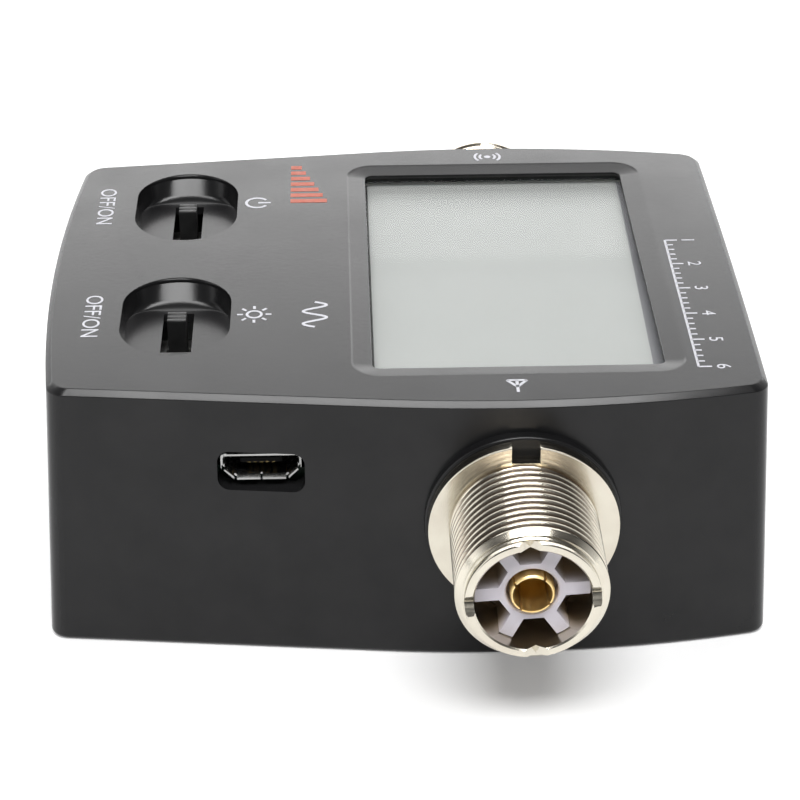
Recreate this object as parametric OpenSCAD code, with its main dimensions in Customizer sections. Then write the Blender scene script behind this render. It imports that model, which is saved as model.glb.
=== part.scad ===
// Pocket meter for the standing wave ratio and power of a radio aerial line.
// A cast case holds a display window, two slide switches, a charging port and
// a threaded coaxial socket on each long side. +X runs along the long sides,
// +Z is up and the origin is under the middle of the base.

/* [Case] */
// Length of the top face between its corners
top_len = 76; // [73:0.5:84]
// Half width of the top face at its left corners
left_half_w = 27.8; // [27.4:0.1:30]
// Length of the straight run of each long side, from the left corners
straight_len = 35.2; // [30:0.2:42]
// Angle at which the straight runs open out
taper_angle = 5.8; // [5.2:0.1:6.6]
// Radius of the arc that closes each long side
side_arc_r = 133; // [120:1:190]
// Bulge of the left end wall
left_bulge = 1.7; // [0.4:0.1:2.6]
// Bulge of the right end wall
right_bulge = 0.2; // [0.1:0.05:1.2]
// Height of the case
case_h = 31; // [30.6:0.1:34]
// Angle at which the walls widen towards the base
draft = 2.7; // [2:0.1:3.4]
// Thickness of the side walls
wall = 2.4; // [2:0.1:2.6]
// Thickness of the top plate
roof = 2.4; // [2.2:0.1:2.8]
// Radius of the upright corners
corner_r = 2.1; // [1:0.1:3]
// Radius of the top edge
edge_r = 0.9; // [0.4:0.1:1.5]
// Radius of the bottom edge
foot_r = 0.6; // [0.3:0.1:1]

/* [Base plate] */
// Thickness of the plate that closes the base
plate_t = 1.6; // [1.2:0.1:2]
// Width of the case rim round the plate
rim_w = 1.5; // [1:0.1:1.8]
// Gap between the plate and the rim
plate_gap = 0.15; // [0.05:0.05:0.3]
// Radius of the posts that take the base screws
boss_r = 3.1; // [2.8:0.1:3.4]
// Radius of the base screws
base_screw_r = 1.25; // [1:0.05:1.5]
// Length of the base screws
base_screw_len = 9; // [6:0.5:14]

/* [Window] */
// Size of the window recess along X at the top face
rim_x = 35.6; // [34:0.2:36.4]
// Size of the window recess along Y at the top face
rim_y = 52.4; // [48:0.2:52.8]
// Corner radius of the window recess
rim_r = 3; // [2.4:0.1:5]
// Width of the sloping border inside the recess
slope_run = 2.1; // [1.2:0.1:2.4]
// Depth of the sloping border
slope_depth = 0.4; // [0.3:0.1:1]
// Thickness of the lip under the slope
lip_t = 0.2; // [0.15:0.05:0.4]
// Shift of the window away from the middle of the case along Y
window_shift = 0.5; // [-0.3:0.1:0.5]
// Width of the lens border that is bonded under the lip
lens_margin = 1.4; // [0.8:0.1:1.6]
// Thickness of the bonding tape
tape_t = 0.2; // [0.1:0.05:0.3]
// Gap round the lens
lens_gap = 0.1; // [0.05:0.05:0.2]

/* [Display] */
// Gap between the lens and the display glass
glass_gap = 0.2; // [0.1:0.1:0.6]
// Thickness of the display glass
glass_t = 2; // [1.4:0.1:2.4]
// Border of the display glass past the window opening
glass_margin = 1.6; // [1:0.1:1.7]
// Wall of the display frame
frame_wall = 1.2; // [0.8:0.1:1.3]
// Ledge that carries the display glass
frame_ledge = 1.2; // [0.8:0.1:2]
// Thickness of the backlight panel
panel_t = 3; // [2:0.1:3.4]
// Thickness of the row of backlight lamps
lamp_t = 1.2; // [0.8:0.1:2]
// Number of backlight lamps
lamp_count = 4; // [2:1:6]
// Number of display pins
pin_count = 14; // [6:1:16]
// Spacing of the display pins
pin_pitch = 2.54; // [2:0.01:2.9]
// Radius of the display pins
pin_r = 0.25; // [0.2:0.05:0.3]

/* [Main board] */
// Depth of the main board's upper face below the top of the case
board_drop = 10; // [9.8:0.1:10.6]
// Thickness of the main board
board_t = 1.6; // [1.2:0.1:2]
// Gap between the board and the walls
board_gap = 0.8; // [0.5:0.1:1.5]
// Radius of the posts that carry the board
post_r = 2.2; // [1.8:0.1:2.4]
// Radius of the board screws
board_screw_r = 1; // [0.8:0.05:1.2]
// Length of the board screws above the board
board_screw_len = 5; // [3:0.5:6]
// Side of the microcontroller
chip_w = 10; // [7:0.5:12]
// Thickness of the microcontroller
chip_t = 1.4; // [1:0.1:2]

/* [Switches] */
// Distance from the left corners to the switches
switch_from_left = 12.8; // [11.5:0.1:14]
// Spacing of the two switches along Y
switch_pitch = 27.6; // [23:0.2:29]
// Shift of the pair of switches along Y
switch_shift = 2.2; // [-1.4:0.1:2.4]
// Width of a finger dish
dish_w = 12.1; // [10:0.1:13]
// Length of a finger dish at the top face
dish_len = 17.6; // [15:0.1:19]
// Depth of a finger dish
dish_depth = 2.7; // [1.8:0.1:3]
// Run of the sloping ends of a finger dish
dish_end_run = 2.4; // [1:0.1:3.5]
// Run of the side walls of a finger dish
dish_side_run = 0.6; // [0.1:0.1:1]
// Thickness of the floor of a finger dish
dish_floor_t = 1; // [0.8:0.1:1.4]
// Width of the slot in the floor of a dish
slot_w = 3.4; // [3:0.1:4.4]
// Spare length of the slot at its far end
slot_spare = 1.7; // [0:0.1:1.9]
// Width of a switch lever
lever_w = 2.1; // [1.6:0.1:2.4]
// Length of a switch lever along its travel
lever_len = 2.4; // [1.8:0.1:3]
// Depth of the lever's top below the top face
lever_drop = 0.9; // [0.2:0.1:1.6]
// Travel of a switch lever
travel = 3; // [2:0.1:3.2]
// Gap between a lever and the slots it runs in
lever_gap = 0.4; // [0.2:0.1:0.6]
// Number of grip ridges on a lever
ridge_count = 3; // [2:1:4]
// Depth of the grip grooves
ridge_depth = 0.25; // [0.1:0.05:0.4]
// Width of a switch body
switch_w = 5; // [4.6:0.1:6]
// Length of a switch body
switch_len = 10.6; // [10:0.1:12]
// Height of a switch body
switch_h = 3.6; // [3.4:0.1:4.2]
// Wall of the switch body
switch_wall = 0.7; // [0.5:0.1:0.9]
// Thickness of the sheet metal over the switch
sheet_t = 0.3; // [0.2:0.05:0.4]
// Gap between a wiper and the terminals
wiper_gap = 0.1; // [0.05:0.05:0.2]

/* [Charging port] */
// Distance from the display frame to the middle of the charging port
usb_from_frame = 9.2; // [6:0.1:10]
// Width of the opening in the case
port_w = 9.3; // [8.8:0.1:10.5]
// Height of the opening in the case
port_h = 4.6; // [3.6:0.1:5]
// Corner radius of the opening
port_r = 1.3; // [0.5:0.1:1.7]
// Depth of the port's mouth behind the face of the wall
usb_recess = 0.8; // [0.3:0.1:1.4]
// Width of the port's shell
usb_w = 8; // [7.6:0.1:8.2]
// Height of the port's shell
usb_h = 2.6; // [2.4:0.1:2.9]
// Length of the port's shell
usb_len = 5.6; // [5:0.1:7]
// Width of the flat at the bottom of the shell
usb_flat = 5.4; // [4.8:0.1:6]
// Sheet thickness of the shell
usb_t = 0.3; // [0.2:0.05:0.35]

/* [Sockets] */
// Distance from the right corners to the socket axis
conn_from_right = 26; // [25:0.1:27]
// Depth of the socket axis below the top of the case
conn_drop = 13.9; // [13.7:0.1:14.2]
// Outside diameter of the socket thread
thread_d = 15.875; // [15:0.005:16.5]
// Pitch of the socket thread
thread_pitch = 1.0583; // [0.9:0.0001:1.4]
// Depth of the thread grooves
thread_depth = 0.6; // [0.3:0.05:0.7]
// Length of a socket in front of its seat
thread_len = 14.7; // [13.5:0.1:17]
// Length of the plain band at the front of a socket
band_len = 1.9; // [1.5:0.1:3]
// Wall of a socket's barrel
barrel_wall = 1.89; // [1.7:0.01:2.2]
// Margin of the raised seat in the case wall round the ring nut
seat_margin = 0.3; // [0.2:0.05:0.8]
// Rise of the seat above the wall, level with the socket axis
seat_rise = 0.7; // [0.6:0.1:1.1]
// Wall left behind the seat
seat_wall = 3.6; // [3.3:0.1:4]
// Width of the flange inside the case, outside the thread
flange_rim = 1.56; // [1:0.02:1.7]
// Thickness of the flange inside the case
flange_t = 1.6; // [1.2:0.1:1.8]
// Thickness of the earth tag
tag_t = 0.4; // [0.3:0.05:0.5]
// Width of the ring nut outside the thread
nut_rim = 2.26; // [2:0.02:2.6]
// Thickness of the ring nut
nut_t = 1.5; // [1.2:0.1:2.4]
// Width of the spanner slots in the ring nut
spanner_w = 3; // [2:0.1:4]
// Depth of the spanner slots in the ring nut
spanner_depth = 1.95; // [1:0.05:2]
// Length of the thin nose at the front of a socket
nose_len = 1; // [0.8:0.05:1.4]
// Depth of the nose below the thread's crests
nose_depth = 0.94; // [0.8:0.02:1.1]
// Width of the four notches in the nose of a socket
notch_w = 2.3; // [1.4:0.1:2.6]
// Depth of the notches
notch_depth = 0.9; // [0.6:0.05:1.1]
// Turn of a socket in its seat
socket_turn = 4; // [-10:0.5:10]
// Depth of the insulator below the rim
insulator_drop = 1.8; // [1.2:0.1:2.5]
// Diameter of the insulator's hub
hub_d = 7; // [6.6:0.1:8]
// Thickness of the insulator's outer ring
ring_t = 0.7; // [0.5:0.1:1]
// Width of the insulator's spokes
spoke_w = 1.5; // [1:0.1:2]
// Number of spokes
spoke_count = 6; // [4:2:8]
// Depth of the hollows between the spokes
void_depth = 8; // [4:0.5:10]
// Outside diameter of the centre contact
contact_d = 4.6; // [4.4:0.05:5]
// Length of the centre contact in front of the insulator
contact_proud = 0.6; // [0.2:0.1:0.9]
// Bore of the centre contact
contact_bore_d = 3.96; // [3.8:0.01:4.05]
// Depth of the contact's bore
contact_depth = 12; // [8:0.5:13]
// Length of the slits in the contact
slit_len = 6; // [4:0.5:8]
// Width of the slits in the contact
slit_w = 0.45; // [0.3:0.05:0.6]
// Turn of the slits in the contact
slit_turn = 56; // [0:1:90]
// Diameter of the insulator's rear boss
rear_boss_d = 6.6; // [6:0.1:6.8]
// Length of the rear boss behind the flange
rear_boss_len = 3.4; // [2:0.1:5]
// Diameter of the solder cup behind the contact
cup_d = 3.2; // [2.8:0.1:3.6]
// Length of the solder cup behind the rear boss
cup_len = 2.4; // [1.5:0.1:4]

/* [Coupler] */
// Diameter of the line between the two sockets
line_d = 1.6; // [1.2:0.1:1.8]
// Outside diameter of a ferrite core
core_d = 6; // [5.4:0.1:6.2]
// Hole of a ferrite core
core_hole_d = 3.4; // [3:0.1:3.8]
// Thickness of a ferrite core
core_t = 2.6; // [2:0.1:4]
// Thickness of a winding
winding_t = 0.4; // [0.2:0.05:0.5]
// Spacing of the two cores along the line
core_pitch = 18; // [10:0.5:24]
// Width of the coupler board
coupler_w = 20; // [16:0.5:22]
// Length of the coupler board
coupler_len = 38; // [34:0.5:40]
// Diameter of the pillars under the coupler board
pillar_d = 5; // [4:0.1:6]
// Distance of the pillars from the edges of the coupler board
pillar_inset = 3; // [2.8:0.1:4]

/* [Battery] */
// Width of the battery
battery_w = 26; // [20:0.5:28]
// Length of the battery
battery_len = 36; // [28:0.5:37]
// Thickness of the battery
battery_t = 7; // [4:0.1:8]
// Distance from the left corners to the battery
battery_from_left = 6.4; // [5.5:0.1:7.5]
// Corner radius of the battery
battery_r = 2.5; // [1:0.1:4]
// Thickness of the foam under the battery
pad_t = 0.8; // [0.5:0.1:1.5]
// Diameter of the battery leads
lead_d = 1.2; // [0.8:0.1:1.6]

/* [Hidden] */
$fn = 64;
// Steps along one side arc
arc_steps = 10;
// Steps along one end wall
end_steps = 8;
// Thickness of the slices that a hull joins
skin = 0.01;
// Amount by which a cut runs past the face that it opens
cut = 1;
// Running gap between fitted round pieces
fit_gap = 0.05;
// Gap between neighbouring pieces that do not touch
clear = 0.4;

// Ends of the top face, with the whole length centred on the origin
end_offset = (left_bulge - right_bulge) / 2;
x_left = end_offset - top_len / 2;
x_right = end_offset + top_len / 2;

// Arc that continues each straight run without a kink
x_tangent = x_left + straight_len;
y_tangent = left_half_w + straight_len * tan(taper_angle);
arc_x = x_tangent + side_arc_r * sin(taper_angle);
arc_y = y_tangent - side_arc_r * cos(taper_angle);

// Heights
ceiling_z = case_h - roof;
lip_z = case_h - slope_depth - lip_t;
lens_top_z = lip_z - tape_t;
dish_z = case_h - dish_depth;
switch_pad_z = dish_z - dish_floor_t;
board_top_z = case_h - board_drop;
board_z = board_top_z - board_t;
conn_z = case_h - conn_drop;
glass_top_z = ceiling_z - glass_gap;
glass_z = glass_top_z - glass_t;
panel_z = glass_z - panel_t;

// Places in plan
conn_x = x_right - conn_from_right;
switch_x = x_left + switch_from_left;
light_y = switch_shift - switch_pitch / 2;
power_y = switch_shift + switch_pitch / 2;

// Window and display
open_x = rim_x - 2 * slope_run;
open_y = rim_y - 2 * slope_run;
open_r = max(rim_r - slope_run, 0.5);
lens_x = open_x + 2 * lens_margin;
lens_y = open_y + 2 * lens_margin;
glass_x = open_x + 2 * glass_margin;
glass_y = open_y + 2 * glass_margin;
frame_x = glass_x + 2 * frame_wall;
frame_y = glass_y + 2 * frame_wall;
panel_x = glass_x - 2 * frame_ledge;
panel_y = glass_y - 2 * frame_ledge;
pins_x = conn_x - glass_x / 2 - frame_wall / 2;

// Charging port, with its opening a little low on the shell
port_lower = 0.2;
usb_x = conn_x - frame_x / 2 - usb_from_frame;
usb_z = board_top_z + usb_h / 2;
port_z = usb_z - port_lower;
usb_mouth_y = -(half_w(usb_x) + spread(usb_z) - usb_recess);

// Parts under the main board: place from the microcontroller, then size, in grid units
part_u = 1;
part_row_count = 5;
part_row_pitch = 3.2 * part_u;
part_row_y = 15.5 * part_u;
part_list = [[-6, -20, 5, 5, 2.4], [0, -20, 3, 3, 1], [4.5, -20, 5, 3.2, 1.2], [-1, 20.5, 6, 5, 1.6]];
can_place = [9, 20.5];
can_r = 2.2 * part_u;
can_h = 5 * part_u;
chip_gap = 2.3 * part_u;
chip_x = pins_x - chip_w / 2 - chip_gap;

// Distances along a socket's axis, measured from the middle of the case
seat_at = half_w(conn_x) + spread(conn_z) + seat_rise;
pad_at = seat_at - seat_wall;
flange_front = pad_at - tag_t;
flange_back = flange_front - flange_t;
rim_at = seat_at + thread_len;
thread_r = thread_d / 2;
barrel_bore_r = thread_r - barrel_wall;
nut_d = thread_d + 2 * nut_rim;
flange_d = thread_d + 2 * flange_rim;
seat_d = nut_d + 2 * seat_margin;
tag_tail_w = 3;
tag_tail_end = plate_t + 1;
insulator_front = rim_at - insulator_drop;
insulator_back = pad_at + 2.6;
boss_back = flange_back - rear_boss_len;
cup_back = boss_back - cup_len;
contact_front = insulator_front + contact_proud;
cup_bore_depth = cup_len + 1;

// Switch parts, measured up from the main board
channel_w = switch_w - 2 * switch_wall;
channel_len = switch_len - 2 * switch_wall;
terminal_t = sheet_t;
terminal_top_z = board_top_z + switch_wall + terminal_t;
wiper_z = terminal_top_z + wiper_gap;
slider_z = wiper_z + sheet_t;
switch_top_z = board_top_z + switch_h;
slider_h = switch_top_z - lever_gap - slider_z;
slider_w = channel_w - 2 * lever_gap;
slider_len = channel_len - travel - 2 * lever_gap;
lever_top_z = case_h - lever_drop;
slot_len = lever_len + travel + 2 * lever_gap + 1;
terminal_pitch = 3;
terminal_w = 1.2;
tail_w = 0.6;
tail_len = 1.2;

// Coupler and battery
core_reach = core_d / 2 + winding_t;
coupler_t = board_t;
coupler_top_z = conn_z - core_reach - fit_gap;
coupler_z = coupler_top_z - coupler_t;
battery_x = x_left + battery_from_left + battery_w / 2;
battery_z = plate_t + pad_t;
lead_gap = 2.4;
plug_w = 7;
plug_len = 6;
plug_h = 5;
plug_y = 10;
header_y = 6;
header_x = conn_x - coupler_w / 2 + 2;

// Screw places
boss_inset = wall + boss_r - 0.5;
boss_places = [for (sx = [-1, 1], sy = [-1, 1])
    let (x = sx < 0 ? x_left + boss_inset : x_right - boss_inset)
    [x, sy * (half_w(x) - boss_inset)]];
post_y = 9;
post_places = [for (sx = [-1, 1], sy = [-1, 1])
    [sx < 0 ? x_left + wall + post_r : x_right - wall - post_r + 0.2, sy * post_y]];
head_r = 2 * base_screw_r;
board_head_r = 1.9 * board_screw_r;
board_head_h = 1.2 * board_screw_r;

// Half width of the top face at a place along X
function half_w(x) = x < x_tangent
    ? left_half_w + (x - x_left) * tan(taper_angle)
    : arc_y + sqrt(side_arc_r * side_arc_r - (x - arc_x) * (x - arc_x));

// How far the walls stand outside the top face at a height
function spread(z) = (case_h - z) * tan(draft);

// Places along X where a side has a corner, for an outline grown by g
function side_xs(g) = concat(
    [x_left - g, x_tangent],
    [for (i = [1:arc_steps]) x_tangent + (x_right + g - x_tangent) * i / arc_steps]);

// Points of one end wall between the near and far corners
function end_points(x, y, bulge) = [for (i = [1:end_steps - 1])
    let (t = 2 * i / end_steps - 1) [x + bulge * (1 - t * t), y * t]];

// Outline of the top face grown by g
function plan(g) = let (xs = side_xs(g), n = len(xs)) concat(
    [for (x = xs) [x, -half_w(x) - g]],
    end_points(x_right + g, half_w(x_right + g) + g, right_bulge),
    [for (i = [n - 1:-1:0]) [xs[i], half_w(xs[i]) + g]],
    end_points(x_left - g, -half_w(x_left - g) - g, -left_bulge));

// Rectangle with round corners, centred on the origin
module rounded_rect(x, y, r) {
    square([x - 2 * r, y], center = true);
    square([x, y - 2 * r], center = true);
    for (sx = [-1, 1], sy = [-1, 1])
        translate([sx * (x / 2 - r), sy * (y / 2 - r)]) circle(r);
}

module slab(x, y, r, z0, z1) {
    translate([0, 0, z0]) linear_extrude(z1 - z0) rounded_rect(x, y, r);
}

module box(x, y, z0, z1) {
    translate([-x / 2, -y / 2, z0]) cube([x, y, z1 - z0]);
}

// Thin slice of the body at a height, with round corners
module body_slice(z, g) {
    translate([0, 0, max(z - skin, 0)]) linear_extrude(skin)
        offset(r = corner_r) offset(delta = -corner_r) polygon(plan(g));
}

module body_solid() {
    hull() {
        body_slice(0, spread(0) - foot_r);
        body_slice(foot_r, spread(foot_r));
        for (a = [0:22.5:90])
            let (z = case_h - edge_r * (1 - sin(a)))
            body_slice(z, spread(z) - edge_r * (1 - cos(a)));
    }
}

module cavity() {
    hull()
        for (z = [-cut, ceiling_z])
            translate([0, 0, z - skin]) linear_extrude(skin) polygon(plan(spread(z) - wall));
}

// Finger dish with sloping ends and a slot for the lever
module dish(y) {
    translate([switch_x, y, 0]) {
        hull() {
            slab(dish_w, dish_len, dish_w / 2 - skin, case_h, case_h + skin);
            slab(dish_w - 2 * dish_side_run, dish_len - 2 * dish_end_run,
                dish_w / 2 - dish_side_run - skin, dish_z, dish_z + skin);
        }
        translate([0, slot_spare / 2, 0])
            box(slot_w, slot_len + slot_spare, switch_pad_z - cut, case_h);
    }
}

module window_cut() {
    translate([conn_x, window_shift, 0]) {
        hull() {
            slab(rim_x, rim_y, rim_r, case_h, case_h + skin);
            slab(open_x, open_y, open_r, case_h - slope_depth, case_h - slope_depth + skin);
        }
        slab(open_x, open_y, open_r, ceiling_z - cut, case_h);
        slab(lens_x, lens_y, open_r, ceiling_z - cut, lip_z);
    }
}

// Turns a socket's own axis, +Z outwards, to the near (-1) or far (+1) side
module on_side(side) {
    translate([conn_x, 0, conn_z]) rotate([-90 * side, 0, 0]) children();
}

module tube(r_out, r_in, z0, z1) {
    translate([0, 0, z0]) difference() {
        cylinder(h = z1 - z0, r = r_out);
        translate([0, 0, -cut]) cylinder(h = z1 - z0 + 2 * cut, r = r_in);
    }
}

module rod(r, z0, z1) {
    translate([0, 0, z0]) cylinder(h = z1 - z0, r = r);
}

module case() {
    color([0.13, 0.13, 0.14]) difference() {
        union() {
            difference() {
                body_solid();
                cavity();
                translate([0, 0, -cut]) linear_extrude(plate_t + cut)
                    polygon(plan(spread(0) - rim_w));
            }
            for (p = boss_places) translate(p) rod(boss_r, plate_t, ceiling_z + skin);
            for (p = post_places) translate(p) rod(post_r, board_top_z, ceiling_z + skin);
            for (y = [light_y, power_y])
                translate([switch_x, y, 0])
                    box(dish_w + 2, dish_len + 2, switch_pad_z, ceiling_z + skin);
            for (side = [-1, 1]) on_side(side) rod(seat_d / 2, pad_at, seat_at);
        }
        window_cut();
        for (y = [light_y, power_y]) dish(y);
        for (p = boss_places)
            translate(p) rod(base_screw_r + fit_gap, -cut, plate_t + base_screw_len);
        for (p = post_places)
            translate(p) rod(board_screw_r + fit_gap, board_z, board_top_z + board_screw_len + clear);
        for (side = [-1, 1]) on_side(side) {
            rod(thread_r + 2 * fit_gap, pad_at - cut, seat_at + cut);
            rod(flange_d / 2 + clear, flange_back - clear, pad_at);
        }
        translate([usb_x, usb_mouth_y, port_z]) rotate([90, 0, 0])
            slab(port_w, port_h, port_r, -wall - cut, usb_recess + cut);
    }
}

module base_plate() {
    color([0.16, 0.16, 0.17]) difference() {
        linear_extrude(plate_t) polygon(plan(spread(0) - rim_w - plate_gap));
        for (p = boss_places) translate(p) {
            rod(base_screw_r + 2 * fit_gap, -cut, plate_t + cut);
            translate([0, 0, -skin])
                cylinder(h = head_r - base_screw_r, r1 = head_r + fit_gap, r2 = base_screw_r + fit_gap);
        }
    }
}

module base_screws() {
    color([0.2, 0.2, 0.21])
        for (p = boss_places) translate(p) difference() {
            union() {
                cylinder(h = head_r - base_screw_r, r1 = head_r, r2 = base_screw_r);
                rod(base_screw_r, 0, base_screw_len);
            }
            box(head_r * 1.2, head_r / 4, -cut, head_r / 4);
            box(head_r / 4, head_r * 1.2, -cut, head_r / 4);
        }
}

module window_lens() {
    color([0.8, 0.85, 0.83, 0.4]) translate([conn_x, window_shift, 0])
        slab(lens_x - 2 * lens_gap, lens_y - 2 * lens_gap, open_r, ceiling_z, lens_top_z);
}

module lens_tape() {
    color([0.05, 0.05, 0.05]) translate([conn_x, window_shift, 0]) difference() {
        slab(lens_x - 2 * lens_gap, lens_y - 2 * lens_gap, open_r, lens_top_z, lip_z);
        slab(open_x, open_y, open_r, lens_top_z - cut, lip_z + cut);
    }
}

module lcd_glass() {
    color([0.8, 0.83, 0.8]) translate([conn_x, window_shift, 0])
        box(glass_x - 2 * fit_gap, glass_y - 2 * fit_gap, glass_z, glass_top_z);
}

module lcd_frame() {
    color([0.9, 0.9, 0.88]) difference() {
        translate([conn_x, window_shift, 0]) difference() {
            box(frame_x, frame_y, board_top_z, glass_top_z);
            box(glass_x, glass_y, glass_z, glass_top_z + cut);
            box(panel_x, panel_y, panel_z, glass_z + cut);
        }
        display_pins(2 * fit_gap);
        for (p = boss_places) translate(p) rod(boss_r + clear, board_z, ceiling_z);
    }
}

module backlight_panel() {
    color([0.95, 0.97, 0.95]) translate([conn_x, window_shift, 0])
        translate([lamp_t / 2, 0, 0])
            box(panel_x - lamp_t - 2 * fit_gap, panel_y - 2 * fit_gap, panel_z, glass_z);
}

module backlight_lamps() {
    spacing = panel_y / lamp_count;
    color([0.9, 0.88, 0.6])
        for (i = [0:lamp_count - 1])
            translate([conn_x - panel_x / 2 + lamp_t / 2,
                       window_shift + (i - (lamp_count - 1) / 2) * spacing, 0])
                box(lamp_t - 2 * fit_gap, spacing / 2, panel_z, panel_z + panel_t / 2);
}

// The display's row of pins, with room for them when grow is more than nought
module display_pins(grow) {
    for (i = [0:pin_count - 1])
        translate([pins_x, window_shift + (i - (pin_count - 1) / 2) * pin_pitch, 0])
            rod(pin_r + grow, board_z - 1, glass_z + 1);
}

module lcd_pins() {
    color([0.8, 0.8, 0.8]) display_pins(0);
}

module main_board() {
    color([0.1, 0.35, 0.2]) difference() {
        translate([0, 0, board_z]) linear_extrude(board_t)
            polygon(plan(spread(board_top_z) - wall - board_gap));
        for (p = boss_places) translate(p) rod(boss_r + clear, board_z - cut, board_top_z + cut);
        for (p = post_places)
            translate(p) rod(board_screw_r + 2 * fit_gap, board_z - cut, board_top_z + cut);
        for (side = [-1, 1]) translate([conn_x, side * flange_back, 0]) {
            translate([0, side * (flange_d / 2 - clear), 0])
                box(flange_d + 2 * clear, flange_d, board_z - cut, board_top_z + cut);
            box(rear_boss_d + 2 * clear, 2 * (rear_boss_len + clear), board_z - cut, board_top_z + cut);
        }
        display_pins(2 * fit_gap);
        for (s = [-1, 1])
            translate([conn_x, s * core_pitch / 2, 0])
                box(2 * (core_reach + clear), core_t + 2 * (winding_t + clear),
                    board_z - cut, board_top_z + cut);
        for (y = [light_y, power_y]) switch_tails(y, 2 * fit_gap);
        header_pins(2 * fit_gap);
    }
}

module board_screws() {
    color([0.75, 0.75, 0.76])
        for (p = post_places) translate(p) difference() {
            union() {
                rod(board_screw_r, board_z, board_top_z + board_screw_len);
                rod(board_head_r, board_z - board_head_h, board_z);
            }
            box(board_head_r * 1.2, board_head_r / 3, board_z - 2 * board_head_h, board_z - board_head_h / 2);
            box(board_head_r / 3, board_head_r * 1.2, board_z - 2 * board_head_h, board_z - board_head_h / 2);
        }
}

module microcontroller() {
    leads = 10;
    lead_pitch = chip_w / (leads + 1);
    lead_len = chip_w / 12;
    color([0.08, 0.08, 0.09]) translate([chip_x, 0, 0]) {
        box(chip_w, chip_w, board_z - chip_t, board_z);
        for (turn = [0:90:270], i = [0:leads - 1])
            rotate(turn) translate([chip_w / 2, (i - (leads - 1) / 2) * lead_pitch, 0])
                box(2 * lead_len, lead_pitch / 2, board_z - chip_t / 2, board_z);
    }
}

module board_components() {
    color([0.55, 0.45, 0.3]) translate([chip_x, 0, 0]) {
        for (i = [0:part_row_count - 1], side = [-1, 1])
            translate([(i - (part_row_count - 1) / 2) * part_row_pitch, side * part_row_y, 0])
                box(part_row_pitch / 2, part_row_pitch / 4, board_z - part_row_pitch / 4, board_z);
        for (p = part_list)
            translate([p[0] * part_u, p[1] * part_u, 0])
                box(p[2] * part_u, p[3] * part_u, board_z - p[4] * part_u, board_z);
        translate(can_place * part_u) rod(can_r, board_z - can_h, board_z);
    }
}

// Section of the charging port: wide at the top, cut off at the lower corners
module usb_section(inset) {
    top = usb_h / 2 - inset;
    half = usb_w / 2 - inset;
    flat = usb_flat / 2 - inset / 2;
    polygon([[-half, top], [-half, 0], [-flat, -top], [flat, -top], [half, 0], [half, top]]);
}

// Lays a section of the port along Y, from its mouth inwards
module along_port(from, to) {
    translate([usb_x, usb_mouth_y + from, usb_z]) rotate([90, 0, 0])
        translate([0, 0, from - to]) linear_extrude(to - from) children();
}

module usb_shell() {
    color([0.8, 0.8, 0.8]) along_port(0, usb_len) difference() {
        usb_section(0);
        usb_section(usb_t);
    }
}

module usb_tongue() {
    color([0.06, 0.06, 0.06]) {
        along_port(usb_len * 0.72, usb_len) usb_section(usb_t + fit_gap);
        along_port(0.9, usb_len * 0.72 + skin)
            translate([0, usb_h / 8]) square([usb_flat - 1, usb_h / 5], center = true);
    }
}

module usb_contacts() {
    contact_pitch = 0.65;
    contact_y = usb_h / 8 - usb_h / 10 - 0.1;
    color([0.85, 0.7, 0.3])
        for (i = [-2:2])
            along_port(1.2, usb_len * 0.72)
                translate([i * contact_pitch, contact_y]) square([0.35, 0.2], center = true);
}

// Places a switch part with its lever at the far end of the travel
module switch_at(y) {
    translate([switch_x, y, 0]) children();
}

module switch_base(y) {
    color([0.1, 0.1, 0.1]) difference() {
        switch_at(y) difference() {
            box(switch_w, switch_len, board_top_z, switch_top_z);
            box(channel_w, channel_len, board_top_z + switch_wall, switch_top_z + cut);
        }
        switch_tails(y, fit_gap);
    }
}

module switch_frame(y) {
    color([0.75, 0.75, 0.74]) switch_at(y) difference() {
        box(switch_w + 2 * (sheet_t + fit_gap), switch_len, board_top_z, switch_top_z + sheet_t);
        box(switch_w + 2 * fit_gap, switch_len + 2 * cut, board_top_z - cut, switch_top_z);
        box(lever_w + 2 * lever_gap, lever_len + travel + 2 * lever_gap,
            switch_top_z - cut, switch_top_z + cut);
    }
}

// The three terminal tails that pass through the switch body and the board
module switch_tails(y, grow) {
    for (i = [-1:1])
        switch_at(y) translate([0, i * terminal_pitch, 0])
            box(tail_w + 2 * grow, tail_w + 2 * grow, board_z - tail_len, board_top_z + switch_wall);
}

module switch_terminals(y) {
    color([0.82, 0.75, 0.5]) {
        switch_tails(y, 0);
        for (i = [-1:1])
            switch_at(y) translate([0, i * terminal_pitch, 0])
                box(channel_w - clear, terminal_w, board_top_z + switch_wall, terminal_top_z);
    }
}

module switch_lever(y) {
    groove = lever_len / (2 * ridge_count + 1);
    color([0.05, 0.05, 0.05]) switch_at(y + travel / 2) difference() {
        union() {
            box(slider_w, slider_len, slider_z, slider_z + slider_h);
            box(lever_w, lever_len, slider_z, lever_top_z);
        }
        for (i = [0:ridge_count - 1])
            translate([0, (2 * i + 1.5 - (2 * ridge_count + 1) / 2) * groove, 0])
                box(lever_w + cut, groove, lever_top_z - ridge_depth, lever_top_z + cut);
    }
}

module switch_wiper(y) {
    color([0.82, 0.75, 0.5]) switch_at(y + travel / 2)
        box(slider_w - clear, min(slider_len, terminal_pitch + terminal_w), wiper_z, slider_z);
}

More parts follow.
